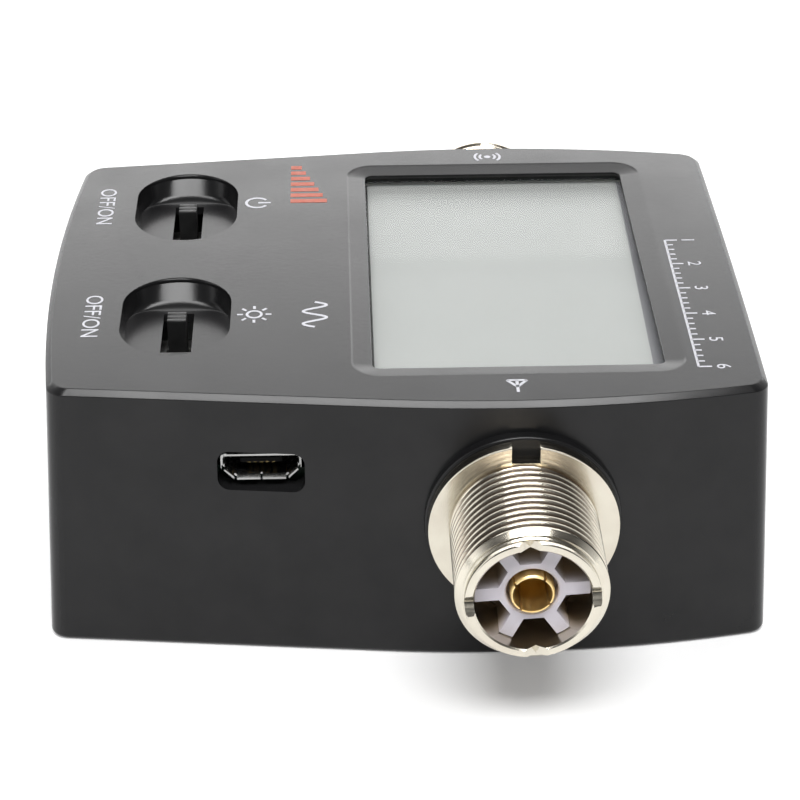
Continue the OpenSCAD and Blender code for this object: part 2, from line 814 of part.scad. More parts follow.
// Profile of a socket's threaded barrel with its flange: radius, then distance
module barrel_profile() {
    groove_flat = thread_pitch / 8;
    run = thread_pitch * 3 / 8;
    root_r = thread_r - thread_depth;
    nose_r = thread_r - nose_depth;
    first = seat_at + thread_pitch;
    grooves = floor((rim_at - band_len - first) / thread_pitch);
    polygon(concat(
        [[rear_boss_d / 2 + fit_gap, flange_back], [flange_d / 2, flange_back],
         [flange_d / 2, flange_front], [thread_r, flange_front]],
        [for (i = [0:grooves - 1], p = [[thread_r, 0], [root_r, run],
                                       [root_r, run + groove_flat], [thread_r, 2 * run + groove_flat]])
            [p[0], first + i * thread_pitch + p[1]]],
        [[thread_r, rim_at - nose_len], [nose_r, rim_at - nose_len], [nose_r, rim_at],
         [barrel_bore_r, rim_at], [barrel_bore_r, insulator_back],
         [rear_boss_d / 2 + fit_gap, insulator_back]]));
}

module socket_shell(side) {
    color([0.82, 0.81, 0.78]) on_side(side) difference() {
        rotate_extrude() barrel_profile();
        for (turn = [0, 90])
            rotate(socket_turn + turn) translate([0, 0, rim_at]) rotate([90, 0, 0])
                linear_extrude(thread_d + 2 * cut, center = true)
                    polygon([[-notch_w / 2, cut / 10], [notch_w / 2, cut / 10],
                             [0, -min(notch_depth, nose_len - skin)]]);
    }
}

module insulator(side) {
    hole_r = contact_d / 2 + fit_gap;
    body_r = barrel_bore_r - fit_gap;
    color([0.88, 0.88, 0.93]) on_side(side) difference() {
        union() {
            rod(body_r, insulator_back, insulator_front);
            rod(rear_boss_d / 2, boss_back, insulator_back + skin);
        }
        rod(hole_r, contact_front - contact_depth - 2 * cut, insulator_front + cut);
        rod(hub_d / 2 - 0.8, insulator_front - 2 * cut, insulator_front + cut);
        rod(cup_d / 2 + fit_gap, boss_back - cut, insulator_front);
        difference() {
            tube(body_r - ring_t, hub_d / 2, insulator_front - void_depth, insulator_front + cut);
            for (i = [0:spoke_count / 2 - 1])
                rotate(socket_turn + i * 360 / spoke_count)
                    box(2 * barrel_bore_r, spoke_w, insulator_front - void_depth - cut,
                        insulator_front + 2 * cut);
        }
    }
}

module contact(side) {
    bore_back = contact_front - contact_depth;
    color([0.85, 0.68, 0.3]) on_side(side) difference() {
        union() {
            rod(contact_d / 2, bore_back - cut, contact_front);
            rod(cup_d / 2, cup_back, bore_back);
        }
        rod(contact_bore_d / 2, bore_back, contact_front + cut);
        rod(line_d / 2 + fit_gap, cup_back - cut, cup_back + cup_bore_depth);
        for (turn = [0, 90])
            rotate(slit_turn + turn) box(2 * contact_d, slit_w, contact_front - slit_len, contact_front + cut);
    }
}

module ring_nut(side) {
    color([0.8, 0.78, 0.74]) on_side(side) difference() {
        tube(nut_d / 2, thread_r + fit_gap, seat_at, seat_at + nut_t);
        for (s = [-1, 1])
            translate([0, s * nut_d / 2, 0])
                box(spanner_w, 2 * min(spanner_depth, nut_rim - 2 * fit_gap - skin),
                    seat_at - cut, seat_at + nut_t + cut);
    }
}

module earth_tag(side) {
    reach = conn_z - tag_tail_end;
    ring_mid = (flange_d / 2 + thread_r) / 2;
    color([0.8, 0.76, 0.6]) on_side(side) {
        tube(flange_d / 2, thread_r + fit_gap, flange_front, pad_at);
        translate([0, side * (ring_mid + reach) / 2, 0])
            box(tag_tail_w, reach - ring_mid, flange_front, pad_at);
    }
}

module through_line() {
    color([0.85, 0.6, 0.45]) translate([conn_x, 0, conn_z]) rotate([-90, 0, 0])
        rod(line_d / 2, -cup_back - cup_bore_depth + clear, cup_back + cup_bore_depth - clear);
}

module coupler_board() {
    color([0.1, 0.35, 0.2]) difference() {
        translate([conn_x, 0, 0]) box(coupler_w, coupler_len, coupler_z, coupler_top_z);
        header_pins(2 * fit_gap);
    }
}

// Runs its children at each core, along the line's axis
module at_cores() {
    for (s = [-1, 1])
        translate([conn_x, s * core_pitch / 2, conn_z]) rotate([-90, 0, 0]) children();
}

module coupler_cores() {
    color([0.25, 0.25, 0.26]) at_cores() tube(core_d / 2, core_hole_d / 2, -core_t / 2, core_t / 2);
}

module coupler_windings() {
    wrap = 250;
    inner = core_hole_d / 2;
    span = core_d / 2 - inner;
    color([0.7, 0.3, 0.15]) at_cores() rotate(90 - wrap / 2) rotate_extrude(angle = wrap)
        difference() {
            translate([inner - winding_t, -core_t / 2 - winding_t])
                square([span + 2 * winding_t, core_t + 2 * winding_t]);
            translate([inner - skin, -core_t / 2 - skin]) square([span + 2 * skin, core_t + 2 * skin]);
        }
}

module coupler_pillars() {
    color([0.9, 0.9, 0.88])
        for (sx = [-1, 1], sy = [-1, 1])
            translate([conn_x + sx * (coupler_w / 2 - pillar_inset),
                       sy * (coupler_len / 2 - pillar_inset), 0])
                rod(pillar_d / 2, plate_t, coupler_z);
}

// The pins that join the coupler board to the main board
module header_pins(grow) {
    for (i = [0:3])
        translate([header_x, header_y - 1.5 * pin_pitch + i * pin_pitch, 0])
            box(tail_w + 2 * grow, tail_w + 2 * grow, coupler_z - 1, board_top_z - 0.2);
}

module link_header() {
    color([0.8, 0.7, 0.35]) {
        header_pins(0);
        translate([header_x, header_y, 0])
            box(pin_pitch, 4 * pin_pitch, coupler_top_z, coupler_top_z + pin_pitch);
    }
}

module battery_cell() {
    color([0.75, 0.75, 0.78]) translate([battery_x, 0, 0])
        slab(battery_w, battery_len, battery_r, battery_z, battery_z + battery_t);
}

module battery_pad() {
    color([0.2, 0.2, 0.2]) translate([battery_x, 0, 0])
        slab(battery_w - 2, battery_len - 2, battery_r, plate_t, battery_z);
}

// A round wire through a list of points
module wire(points, r) {
    for (i = [0:len(points) - 2])
        let (v = points[i + 1] - points[i], l = norm(v))
        translate(points[i]) rotate([0, acos(v[2] / l), atan2(v[1], v[0])]) cylinder(h = l, r = r);
    for (i = [1:len(points) - 2]) translate(points[i]) sphere(r);
}

module battery_leads() {
    low_z = battery_z + battery_t / 2;
    high_z = board_z - plug_h / 2;
    end_y = battery_len / 2;
    color([0.6, 0.1, 0.1])
        for (s = [-1, 1])
            let (x = battery_x + s * lead_gap / 2)
            wire([[x, end_y, low_z], [x, end_y + 1.5, low_z], [x, end_y + 1.5, high_z],
                  [x, plug_y + plug_len / 2, high_z]], lead_d / 2);
}

module battery_plug() {
    color([0.92, 0.92, 0.88]) translate([battery_x, plug_y, 0])
        box(plug_w, plug_len, board_z - plug_h, board_z);
}

case();
base_plate();
base_screws();
window_lens();
lens_tape();
lcd_glass();
lcd_frame();
backlight_panel();
backlight_lamps();
lcd_pins();
main_board();
board_screws();
microcontroller();
board_components();
usb_shell();
usb_tongue();
usb_contacts();
switch_base(power_y);  // power_switch_base
switch_frame(power_y);  // power_switch_frame
switch_terminals(power_y);  // power_switch_terminals
switch_lever(power_y);  // power_switch_lever
switch_wiper(power_y);  // power_switch_wiper
switch_base(light_y);  // light_switch_base
switch_frame(light_y);  // light_switch_frame
switch_terminals(light_y);  // light_switch_terminals
switch_lever(light_y);  // light_switch_lever
switch_wiper(light_y);  // light_switch_wiper
socket_shell(-1);  // ant_socket_shell
insulator(-1);  // ant_insulator
contact(-1);  // ant_contact
ring_nut(-1);  // ant_ring_nut
earth_tag(-1);  // ant_earth_tag
socket_shell(1);  // tx_socket_shell
insulator(1);  // tx_insulator
contact(1);  // tx_contact
ring_nut(1);  // tx_ring_nut
earth_tag(1);  // tx_earth_tag
through_line();
coupler_board();
coupler_cores();
coupler_windings();
coupler_pillars();
link_header();
battery_cell();
battery_pad();
battery_leads();
battery_plug();
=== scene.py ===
"""Looks of a pocket meter for the standing wave ratio and power of a radio aerial line.

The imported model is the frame: every piece here is built in its place, in millimetres,
and stands for the node of the same purpose. Nodes hidden inside keep their own shape.
"""

import math

import bmesh
import bpy
from mathutils import Matrix, Vector


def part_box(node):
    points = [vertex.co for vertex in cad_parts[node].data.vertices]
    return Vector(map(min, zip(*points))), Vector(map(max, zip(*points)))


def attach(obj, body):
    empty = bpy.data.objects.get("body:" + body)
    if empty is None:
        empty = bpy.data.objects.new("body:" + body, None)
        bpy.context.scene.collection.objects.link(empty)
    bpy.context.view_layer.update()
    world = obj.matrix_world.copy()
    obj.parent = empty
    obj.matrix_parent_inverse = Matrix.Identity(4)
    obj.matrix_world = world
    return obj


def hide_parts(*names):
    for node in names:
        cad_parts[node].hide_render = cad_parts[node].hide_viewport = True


MM = 0.001
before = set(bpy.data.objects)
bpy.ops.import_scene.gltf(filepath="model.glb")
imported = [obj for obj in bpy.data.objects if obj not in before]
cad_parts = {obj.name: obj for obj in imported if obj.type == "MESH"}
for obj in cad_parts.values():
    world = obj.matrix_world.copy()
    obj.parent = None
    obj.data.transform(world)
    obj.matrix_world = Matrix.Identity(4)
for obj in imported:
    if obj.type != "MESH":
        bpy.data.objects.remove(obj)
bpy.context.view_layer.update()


def box_mm(node):
    """Lowest and highest corner of a node, in millimetres."""
    low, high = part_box(node)
    return low / MM, high / MM


# Case outline, as in the part
TOP_LEN = 76.0
LEFT_HALF_W = 27.8
STRAIGHT_LEN = 35.2
TAPER = math.radians(5.8)
SIDE_ARC_R = 133.0
LEFT_BULGE = 1.7
RIGHT_BULGE = 0.2
DRAFT = math.radians(2.7)
WALL = 2.4
ROOF = 2.4
CORNER_R = 2.1
EDGE_BEVEL = 0.62
FOOT_R = 0.6
RIM_W = 1.5

# The top face lies this far under the box, which leaves room for the print
PRINT_T = 0.03
CASE_H = box_mm("case")[1].z
TOP_Z = CASE_H - PRINT_T
CEILING_Z = CASE_H - ROOF
PLATE_T = box_mm("base_plate")[1].z

END_SHIFT = (LEFT_BULGE - RIGHT_BULGE) / 2
X_LEFT = END_SHIFT - TOP_LEN / 2
X_RIGHT = END_SHIFT + TOP_LEN / 2
X_TANGENT = X_LEFT + STRAIGHT_LEN
Y_TANGENT = LEFT_HALF_W + STRAIGHT_LEN * math.tan(TAPER)
ARC_X = X_TANGENT + SIDE_ARC_R * math.sin(TAPER)
ARC_Y = Y_TANGENT - SIDE_ARC_R * math.cos(TAPER)

# Amount by which a cut runs past the face that it opens
CUT = 1.0
ARC_STEPS = 26
END_STEPS = 12
FILLET_STEPS = 8
ROUND_STEPS = 96


def half_width(x):
    """Half width of the top face at a place along X."""
    if x < X_TANGENT:
        return LEFT_HALF_W + (x - X_LEFT) * math.tan(TAPER)
    return ARC_Y + math.sqrt(SIDE_ARC_R**2 - (x - ARC_X) ** 2)


def spread(z):
    """How far the walls stand outside the top face at a height."""
    return (CASE_H - z) * math.tan(DRAFT)


def corner_arc(corner, before, after, radius):
    """Points that round a corner of an outline that turns to the left."""
    d_in = (corner - before).normalized()
    d_out = (after - corner).normalized()
    turn = d_in.angle(d_out)
    start = corner - d_in * radius * math.tan(turn / 2)
    to_centre = Vector((-d_in.y, d_in.x)) * radius
    centre = start + to_centre
    steps = FILLET_STEPS
    return [centre + Matrix.Rotation(turn * i / steps, 2) @ -to_centre for i in range(steps + 1)]


def outline(grow):
    """Rounded outline of the top face, grown on all sides, anticlockwise."""
    inset = CORNER_R + 1
    left, right = X_LEFT - grow, X_RIGHT + grow
    xs = [left + inset, X_TANGENT]
    xs += [X_TANGENT + (right - inset - X_TANGENT) * i / ARC_STEPS for i in range(1, ARC_STEPS + 1)]
    near = [Vector((x, -half_width(x) - grow)) for x in xs]
    far = [Vector((p.x, -p.y)) for p in reversed(near)]

    def end(x, bulge, sign):
        y = half_width(x) + grow
        ts = [0.88 * (2 * i / END_STEPS - 1) for i in range(END_STEPS + 1)]
        return [Vector((x + bulge * (1 - t * t), sign * y * t)) for t in ts]

    runs = [near, end(right, RIGHT_BULGE, 1), far, end(left, -LEFT_BULGE, -1)]
    corners = [(right, -1), (right, 1), (left, 1), (left, -1)]
    points = []
    for i, run in enumerate(runs):
        x, sign = corners[i]
        corner = Vector((x, sign * (half_width(x) + grow)))
        points += run + corner_arc(corner, run[-1], runs[(i + 1) % 4][0], CORNER_R)
    return points


def ring(z, grow):
    """The case outline at a height."""
    return [(p.x, p.y, z) for p in outline(grow)]


def rect_ring(x, y, r, z, centre):
    """Rectangle with round corners at a height."""
    points = []
    for k, (sx, sy) in enumerate([(1, 1), (-1, 1), (-1, -1), (1, -1)]):
        for i in range(FILLET_STEPS + 1):
            a = math.pi / 2 * (k + i / FILLET_STEPS)
            points.append((centre[0] + sx * (x / 2 - r) + r * math.cos(a),
                           centre[1] + sy * (y / 2 - r) + r * math.sin(a), z))
    return points


def circle_ring(r, z, centre, steps=ROUND_STEPS):
    turns = [2 * math.pi * i / steps for i in range(steps)]
    return [(centre[0] + r * math.cos(a), centre[1] + r * math.sin(a), z) for a in turns]


def add_object(name, data):
    obj = bpy.data.objects.new(name, data)
    bpy.context.scene.collection.objects.link(obj)
    return obj


def loft(rings):
    """Points and faces of a solid through rings of equal length, with flat ends."""
    n = len(rings[0])
    verts = [p for r in rings for p in r]
    faces = [(i * n + j, i * n + (j + 1) % n, (i + 1) * n + (j + 1) % n, (i + 1) * n + j)
             for i in range(len(rings) - 1) for j in range(n)]
    faces.append(tuple(reversed(range(n))))
    faces.append(tuple(range((len(rings) - 1) * n, len(rings) * n)))
    return verts, faces


def revolve(profiles, thread=None):
    """Points and faces of a closed section carried round an axis, one section per step.

    A thread is the place of its first and last point and the number of points in a pitch:
    after a full turn these points meet those one pitch further on.
    """
    steps, n = len(profiles), len(profiles[0])
    verts = []
    for i, profile in enumerate(profiles):
        a = 2 * math.pi * i / steps
        verts += [(r * math.cos(a), r * math.sin(a), w) for r, w in profile]

    def beside(i, j):
        if thread and i == steps - 1 and thread[0] <= j <= thread[1]:
            j = min(j + thread[2], thread[1])
        return (i + 1) % steps * n + j

    faces = []
    for i in range(steps):
        for j in range(n):
            after = (j + 1) % n
            face = dict.fromkeys((i * n + j, beside(i, j), beside(i, after), i * n + after))
            if len(face) > 2:
                faces.append(tuple(face))
    return verts, faces


def lathe(profile, steps=ROUND_STEPS):
    return revolve([profile] * steps)


def joined(*solids):
    """Several sets of points and faces as one."""
    verts, faces = [], []
    for more_verts, more_faces in solids:
        faces += [tuple(i + len(verts) for i in f) for f in more_faces]
        verts += list(more_verts)
    return verts, faces


def moved(solid, matrix):
    return [tuple(matrix @ Vector(v)) for v in solid[0]], solid[1]


def block(x, y, z0, z1, centre):
    half_x, half_y = x / 2, y / 2
    base = [(-half_x, -half_y), (half_x, -half_y), (half_x, half_y), (-half_x, half_y)]
    return loft([[(centre[0] + a, centre[1] + b, z) for a, b in base] for z in (z0, z1)])


def stack(profile, centre, steps=ROUND_STEPS):
    """Solid through circles, each with a radius and a height."""
    return loft([circle_ring(r, z, centre, steps) for r, z in profile])


def rod(r, z0, z1, centre, steps=ROUND_STEPS):
    return stack([(r, z0), (r, z1)], centre, steps)


def slab(x, y, r, z0, z1, centre):
    """Block with round upright corners."""
    return loft([rect_ring(x, y, r, z, centre) for z in (z0, z1)])


def piece(name, solid, weld=False):
    """An object from points in millimetres and faces, with its faces turned outwards."""
    mesh = bpy.data.meshes.new(name)
    mesh.from_pydata([Vector(v) * MM for v in solid[0]], [], solid[1])
    made = bmesh.new()
    made.from_mesh(mesh)
    if weld:
        bmesh.ops.remove_doubles(made, verts=made.verts, dist=1e-4 * MM)
    bmesh.ops.recalc_face_normals(made, faces=made.faces)
    made.to_mesh(mesh)
    made.free()
    return add_object(name, mesh)


def bake_modifiers(obj):
    """Keeps the result of the modifiers as the mesh."""
    shapes = bpy.context.evaluated_depsgraph_get()
    mesh = bpy.data.meshes.new_from_object(obj.evaluated_get(shapes))
    old = obj.data
    obj.modifiers.clear()
    obj.data = mesh
    bpy.data.meshes.remove(old)


def combine(obj, solid, operation):
    """Joins a solid to an object, or cuts it out."""
    tool = piece("tool", solid)
    step = obj.modifiers.new("combine", "BOOLEAN")
    step.operation = operation
    step.solver = "EXACT"
    step.object = tool
    bake_modifiers(obj)
    bpy.data.objects.remove(tool)


def cut(obj, *solids):
    combine(obj, joined(*solids), "DIFFERENCE")


def unite(obj, *solids):
    combine(obj, joined(*solids), "UNION")


def soften(obj, width):
    """Rounds the sharp edges."""
    step = obj.modifiers.new("edges", "BEVEL")
    step.width = width * MM
    step.segments = 2
    step.limit_method = "ANGLE"
    step.angle_limit = math.radians(40)
    bake_modifiers(obj)


def smooth(obj, limit=32):
    """Smooth shading that keeps flat faces flat and sharp edges sharp."""
    obj.data.polygons.foreach_set("use_smooth", [True] * len(obj.data.polygons))
    obj.data.set_sharp_from_angle(angle=math.radians(limit))
    step = obj.modifiers.new("normals", "WEIGHTED_NORMAL")
    step.keep_sharp = True


def dress(obj, material, body="meter", nodes=()):
    """Gives a piece its material, its body and the nodes it stands for."""
    obj.data.materials.clear()
    obj.data.materials.append(material)
    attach(obj, body)
    if nodes:
        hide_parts(*nodes)


# Materials


class Nodes:
    """Short ways to add shader nodes to a tree and to link them."""

    def __init__(self, tree, coordinates):
        self.tree = tree
        self.place = self.node("TexCoord").outputs[coordinates]

    def node(self, kind, **values):
        made = self.tree.nodes.new("ShaderNode" + kind)
        for key, value in values.items():
            setattr(made, key, value)
        return made

    def link(self, output, target):
        self.tree.links.new(output, target)

    def axes(self):
        """Coordinates along X, Y and Z."""
        split = self.node("SeparateXYZ")
        self.link(self.place, split.inputs["Vector"])
        return split.outputs

    def vector(self, operation, value, fixed=(0, 0, 0)):
        """Vector sum of an output and a fixed vector."""
        made = self.node("VectorMath", operation=operation)
        self.link(value, made.inputs[0])
        made.inputs[1].default_value = fixed
        return made.outputs

    def span(self, value, low, high, to_low, to_high):
        """Maps a range of values to another, and holds it there."""
        made = self.node("MapRange")
        keys = ("From Min", "From Max", "To Min", "To Max")
        for key, number in zip(keys, (low, high, to_low, to_high)):
            made.inputs[key].default_value = number
        self.link(value, made.inputs["Value"])
        return made.outputs["Result"]

    def edge(self, value, at, half, before, after):
        """One value before a place in millimetres and another past it."""
        return self.span(value, (at - half) * MM, (at + half) * MM, before, after)

    def math(self, operation, a, b):
        made = self.node("Math", operation=operation)
        for socket, value in zip(made.inputs, (a, b)):
            if isinstance(value, (int, float)):
                socket.default_value = value
            else:
                self.link(value, socket)
        return made.outputs["Value"]

    def blend(self, share, first, second):
        """Mixes two shaders."""
        made = self.node("MixShader")
        for socket, output in zip(made.inputs, (share, first, second)):
            self.link(output, socket)
        return made.outputs["Shader"]


class Look(Nodes):
    """A procedural material: a Principled shader and the nodes that drive it."""

    def __init__(self, name, **values):
        self.material = bpy.data.materials.new(name)
        self.material.use_nodes = True
        super().__init__(self.material.node_tree, "Object")
        self.shader = self.tree.nodes["Principled BSDF"]
        for key, value in values.items():
            self.shader.inputs[key.replace("_", " ")].default_value = value

    def stretched(self, x, y, z):
        """Coordinates scaled by a factor along each axis."""
        made = self.node("Mapping")
        made.inputs["Scale"].default_value = (x, y, z)
        self.link(self.place, made.inputs["Vector"])
        return made.outputs["Vector"]

    def noise(self, size, detail=4.0, place=None):
        """Noise whose features are about size millimetres wide."""
        made = self.node("TexNoise")
        made.inputs["Scale"].default_value = 1 / (size * MM)
        made.inputs["Detail"].default_value = detail
        self.link(place or self.place, made.inputs["Vector"])
        return made.outputs["Fac"]

    def ramp(self, value, *stops):
        """Colours at places from 0 to 1."""
        made = self.node("ValToRGB")
        ramp = made.color_ramp
        while len(ramp.elements) < len(stops):
            ramp.elements.new(0.5)
        for element, (at, colour) in zip(ramp.elements, stops):
            element.position = at
            element.color = (*colour, 1)
        self.link(value, made.inputs["Fac"])
        return made.outputs["Color"]

    def mix(self, share, first, second):
        """Blends two colours, each a colour or an output."""
        made = self.node("Mix", data_type="RGBA")
        self.link(share, made.inputs["Factor"])
        for socket, value in ((made.inputs[6], first), (made.inputs[7], second)):
            if isinstance(value, tuple):
                socket.default_value = (*value, 1)
            else:
                self.link(value, socket)
        return made.outputs[2]

    def colour(self, output):
        self.link(output, self.shader.inputs["Base Color"])

    def patches(self, size, dark, light, detail=4.0):
        """Noise between two colours."""
        return self.ramp(self.noise(size, detail), (0.3, dark), (0.7, light))

    def roughness(self, value, smoothest, roughest):
        """Roughness that follows a noise."""
        self.link(self.span(value, 0.3, 0.7, smoothest, roughest), self.shader.inputs["Roughness"])

    def bump(self, height, depth):
        """Relief of a depth in millimetres."""
        made = self.node("Bump")
        made.inputs["Distance"].default_value = depth * MM
        self.link(height, made.inputs["Height"])
        self.link(made.outputs["Normal"], self.shader.inputs["Normal"])

    def surface(self, output):
        self.link(output, self.tree.nodes["Material Output"].inputs["Surface"])


def paint_look():
    """Satin black paint over a casting, with a fine skin and specks of dust."""
    look = Look("black_paint", Specular_IOR_Level=0.28)
    base = look.patches(6, (0.0085, 0.0085, 0.009), (0.013, 0.0128, 0.0132))
    cells = look.node("TexVoronoi")
    cells.inputs["Scale"].default_value = 1 / (3.4 * MM)
    look.link(look.place, cells.inputs["Vector"])
    pick = look.node("SeparateColor")
    look.link(cells.outputs["Color"], pick.inputs["Color"])
    near = look.span(cells.outputs["Distance"], 0.014, 0.03, 1, 0)
    chosen = look.span(pick.outputs["Red"], 0.62, 0.64, 0, 1)
    specks = look.math("MULTIPLY", near, chosen)
    look.colour(look.mix(specks, base, (0.30, 0.30, 0.31)))
    look.roughness(look.noise(9, 6), 0.2, 0.27)
    skin = look.math("ADD", look.noise(0.55, 3), look.math("MULTIPLY", specks, 0.6))
    look.bump(skin, 0.006)
    return look.material


def plastic_look(name, dark, light, rough=(0.38, 0.52), grain=0.25, shine=0.5):
    """Moulded plastic with a fine grain."""
    look = Look(name, Specular_IOR_Level=shine)
    look.colour(look.patches(3, dark, light))
    look.roughness(look.noise(1.5), *rough)
    look.bump(look.noise(grain, 2), 0.004)
    return look.material


def metal_look(name, dark, light, rough=(0.2, 0.32), line=(1, 1, 1), size=2.0):
    """Plain metal, with marks drawn out along one way."""
    look = Look(name, Metallic=1.0)
    marks = look.noise(size, 5, look.stretched(*line))
    look.colour(look.ramp(look.noise(4), (0.35, dark), (0.65, light)))
    look.roughness(marks, *rough)
    look.bump(marks, 0.002)
    return look.material


def nickel_look():
    """Plated metal turned on a lathe: rings round the axis, with painted shade in the roots of the thread.
    """
    look = Look("nickel_plate", Metallic=1.0)
    turned = look.noise(0.25, 3, look.stretched(0.04, 1, 0.04))
    offset = look.vector("SUBTRACT", look.place, (AXIS[0] * MM, 0, AXIS[1] * MM))["Vector"]
    flat = look.vector("MULTIPLY", offset, (1, 0, 1))["Vector"]
    reach = look.vector("LENGTH", flat)["Value"]
    along = look.math("ABSOLUTE", look.axes()["Y"], 0)
    # Painted shade: the roots of the thread turn brown and darker, for their self-shadow and the black
    # case they mirror
    root = look.edge(reach, THREAD_R - 0.22, 0.12, 1, 0)
    threaded = look.edge(along, RIM_AT - BAND_LEN, 0.1, 1, 0)
    outside = look.edge(reach, BORE_R + 0.2, 0.1, 0, THREAD_ROOT_SHADE)
    root_shade = look.math("MULTIPLY", look.math("MULTIPLY", root, threaded), outside)
    plate = look.ramp(look.noise(5), (0.35, (0.63, 0.58, 0.49)), (0.65, (0.71, 0.67, 0.57)))
    look.colour(look.mix(root_shade, plate, (0.30, 0.17, 0.09)))
    look.roughness(turned, 0.14, 0.26)
    look.bump(turned, 0.002)
    return look.material


def insulator_look():
    """Pale moulded plastic, with painted shade: brown and darker down in its hollows."""
    look = Look("insulator_plastic")
    reach = look.math("ABSOLUTE", look.axes()["Y"], 0)
    # Painted shade: brown from a little under the front face inwards, where the hollows lie in shade
    deep = look.edge(reach, INSULATOR_FRONT - 1.225, 0.975, 1, 0)
    pale = look.patches(2.5, (0.54, 0.51, 0.56), (0.62, 0.59, 0.64))
    look.colour(look.mix(deep, pale, (0.34, 0.26, 0.18)))
    look.roughness(look.noise(1.5), 0.3, 0.42)
    look.bump(look.noise(0.3, 2), 0.004)
    return look.material


def print_look(name, colour):
    """Screen print, a little uneven."""
    look = Look(name)
    worn = tuple(0.82 * c for c in colour)
    look.colour(look.ramp(look.noise(0.4), (0.25, worn), (0.6, colour)))
    look.roughness(look.noise(0.6), 0.45, 0.6)
    look.bump(look.noise(0.2), 0.003)
    return look.material


def display_look():
    """Blank display behind its polariser: pale grey with a faint grain."""
    look = Look("display_film", Specular_IOR_Level=0.08)
    tone = look.patches(14, (0.347, 0.356, 0.348), (0.364, 0.372, 0.364), 3)
    place = look.axes()
    along = look.math("SUBTRACT", place["Y"], WINDOW[1] * MM)
    across = look.math("SUBTRACT", place["X"], look.math("MULTIPLY", along, BORDER_TILT))
    border = look.edge(across, WINDOW[0] + OPEN_X / 2 - BORDER_W, 0.05, 0, 1)
    bordered = look.mix(border, tone, (0.17, 0.17, 0.18))
    # Painted shade: a near-black strip along the left edge, standing for the opening's black wall in shade
    dark = look.edge(place["X"], WINDOW[0] - OPEN_X / 2 + LEFT_SHADE_W, 0.04, 1, 0)
    look.colour(look.mix(dark, bordered, (0.012, 0.012, 0.012)))
    look.roughness(look.noise(2), 0.34, 0.42)
    look.bump(look.noise(0.12, 2), 0.0005)
    return look.material


def lens_look():
    """Clear window that lets the lamps through."""
    look = Look("clear_window", Transmission_Weight=1.0, IOR=1.05, Specular_IOR_Level=0.1,
                Base_Color=(0.97, 0.98, 0.97, 1))
    look.roughness(look.noise(5), 0.015, 0.04)
    path = look.node("LightPath").outputs
    passing = look.math("MAXIMUM", path["Is Shadow Ray"], path["Is Diffuse Ray"])
    clear = look.node("BsdfTransparent")
    look.surface(look.blend(passing, look.shader.outputs["BSDF"], clear.outputs["BSDF"]))
    return look.material


# Sockets, read from the near one
shell_low, shell_high = box_mm("ant_socket_shell")
nut_low, nut_high = box_mm("ant_ring_nut")
AXIS = ((shell_low.x + shell_high.x) / 2, (shell_low.z + shell_high.z) / 2)
RIM_AT = -shell_low.y
FLANGE_BACK = -shell_high.y
FLANGE_R = (shell_high.x - shell_low.x) / 2
THREAD_R = 15.875 / 2
THREAD_PITCH = 1.0583
THREAD_DEPTH = 0.6
THREAD_FORM = ((0, 0), (0.1, 0), (0.22, 0.17), (0.5, 1), (0.6, 1), (0.92, 0.08))
NOSE_LEN = 1.0
LEAD_IN = 0.55
BAND_LEN = NOSE_LEN + LEAD_IN + 0.1
NOSE_R = THREAD_R - 0.94
BORE_R = THREAD_R - 1.89
FLANGE_T = 1.6
TAG_T = 0.4
SEAT_AT = -nut_high.y
SEAT_R = (nut_high.x - nut_low.x) / 2 + 0.3
PAD_AT = FLANGE_BACK + FLANGE_T + TAG_T
REAR_BOSS_R = 3.3
INSULATOR_BACK = PAD_AT + 2.6
INSULATOR_FRONT = -box_mm("ant_insulator")[0].y
CONTACT_LEN = 14.0
CONTACT_BORE = 12.0
NOTCH_W = 2.3
NOTCH_DEPTH = 0.9
SOCKET_TURN = 4
SLIT_TURN = 56
# Share of painted shade, brown and darker, in the roots of the thread
THREAD_ROOT_SHADE = 0.75
GAP = 0.05

PAINT = paint_look()
NICKEL = nickel_look()
GOLD = metal_look("gold_plate", (0.95, 0.69, 0.29), (0.98, 0.78, 0.40), (0.36, 0.48), (1, 0.1, 1), 0.4)
STEEL = metal_look("shell_steel", (0.36, 0.36, 0.355), (0.46, 0.46, 0.45), (0.18, 0.3), (0.1, 1, 1),
                   0.4)
TIN = metal_look("tin_plate", (0.62, 0.62, 0.60), (0.74, 0.73, 0.71), (0.28, 0.42))
COPPER = metal_look("enamelled_copper", (0.48, 0.19, 0.10), (0.62, 0.28, 0.15), (0.25, 0.4),
                    (1, 0.2, 1), 0.3)
BLACK_SCREW = metal_look("black_screw", (0.03, 0.03, 0.032), (0.06, 0.06, 0.062), (0.3, 0.45))
BLACK_PLASTIC = plastic_look("black_plastic", (0.008, 0.008, 0.008), (0.014, 0.014, 0.014))
DULL_PLASTIC = plastic_look("dull_plastic", (0.004, 0.004, 0.004), (0.008, 0.008, 0.008), shine=0.05)
INSULATOR = insulator_look()
WHITE_PLASTIC = plastic_look("white_plastic", (0.72, 0.72, 0.69), (0.8, 0.8, 0.77))
LIGHT_GUIDE = plastic_look("light_guide", (0.8, 0.82, 0.8), (0.87, 0.88, 0.86), (0.15, 0.25))
LAMP = plastic_look("lamp_resin", (0.72, 0.62, 0.2), (0.82, 0.74, 0.32), (0.2, 0.3))
BOARD = plastic_look("board_resist", (0.006, 0.022, 0.012), (0.009, 0.032, 0.018), (0.4, 0.5), 0.6)
CHIP = plastic_look("chip_resin", (0.015, 0.015, 0.016), (0.024, 0.024, 0.025), (0.5, 0.65))
COMPONENT = plastic_look("part_body", (0.28, 0.19, 0.10), (0.38, 0.27, 0.15))
FERRITE = plastic_look("ferrite", (0.04, 0.04, 0.042), (0.065, 0.065, 0.068), (0.55, 0.7))
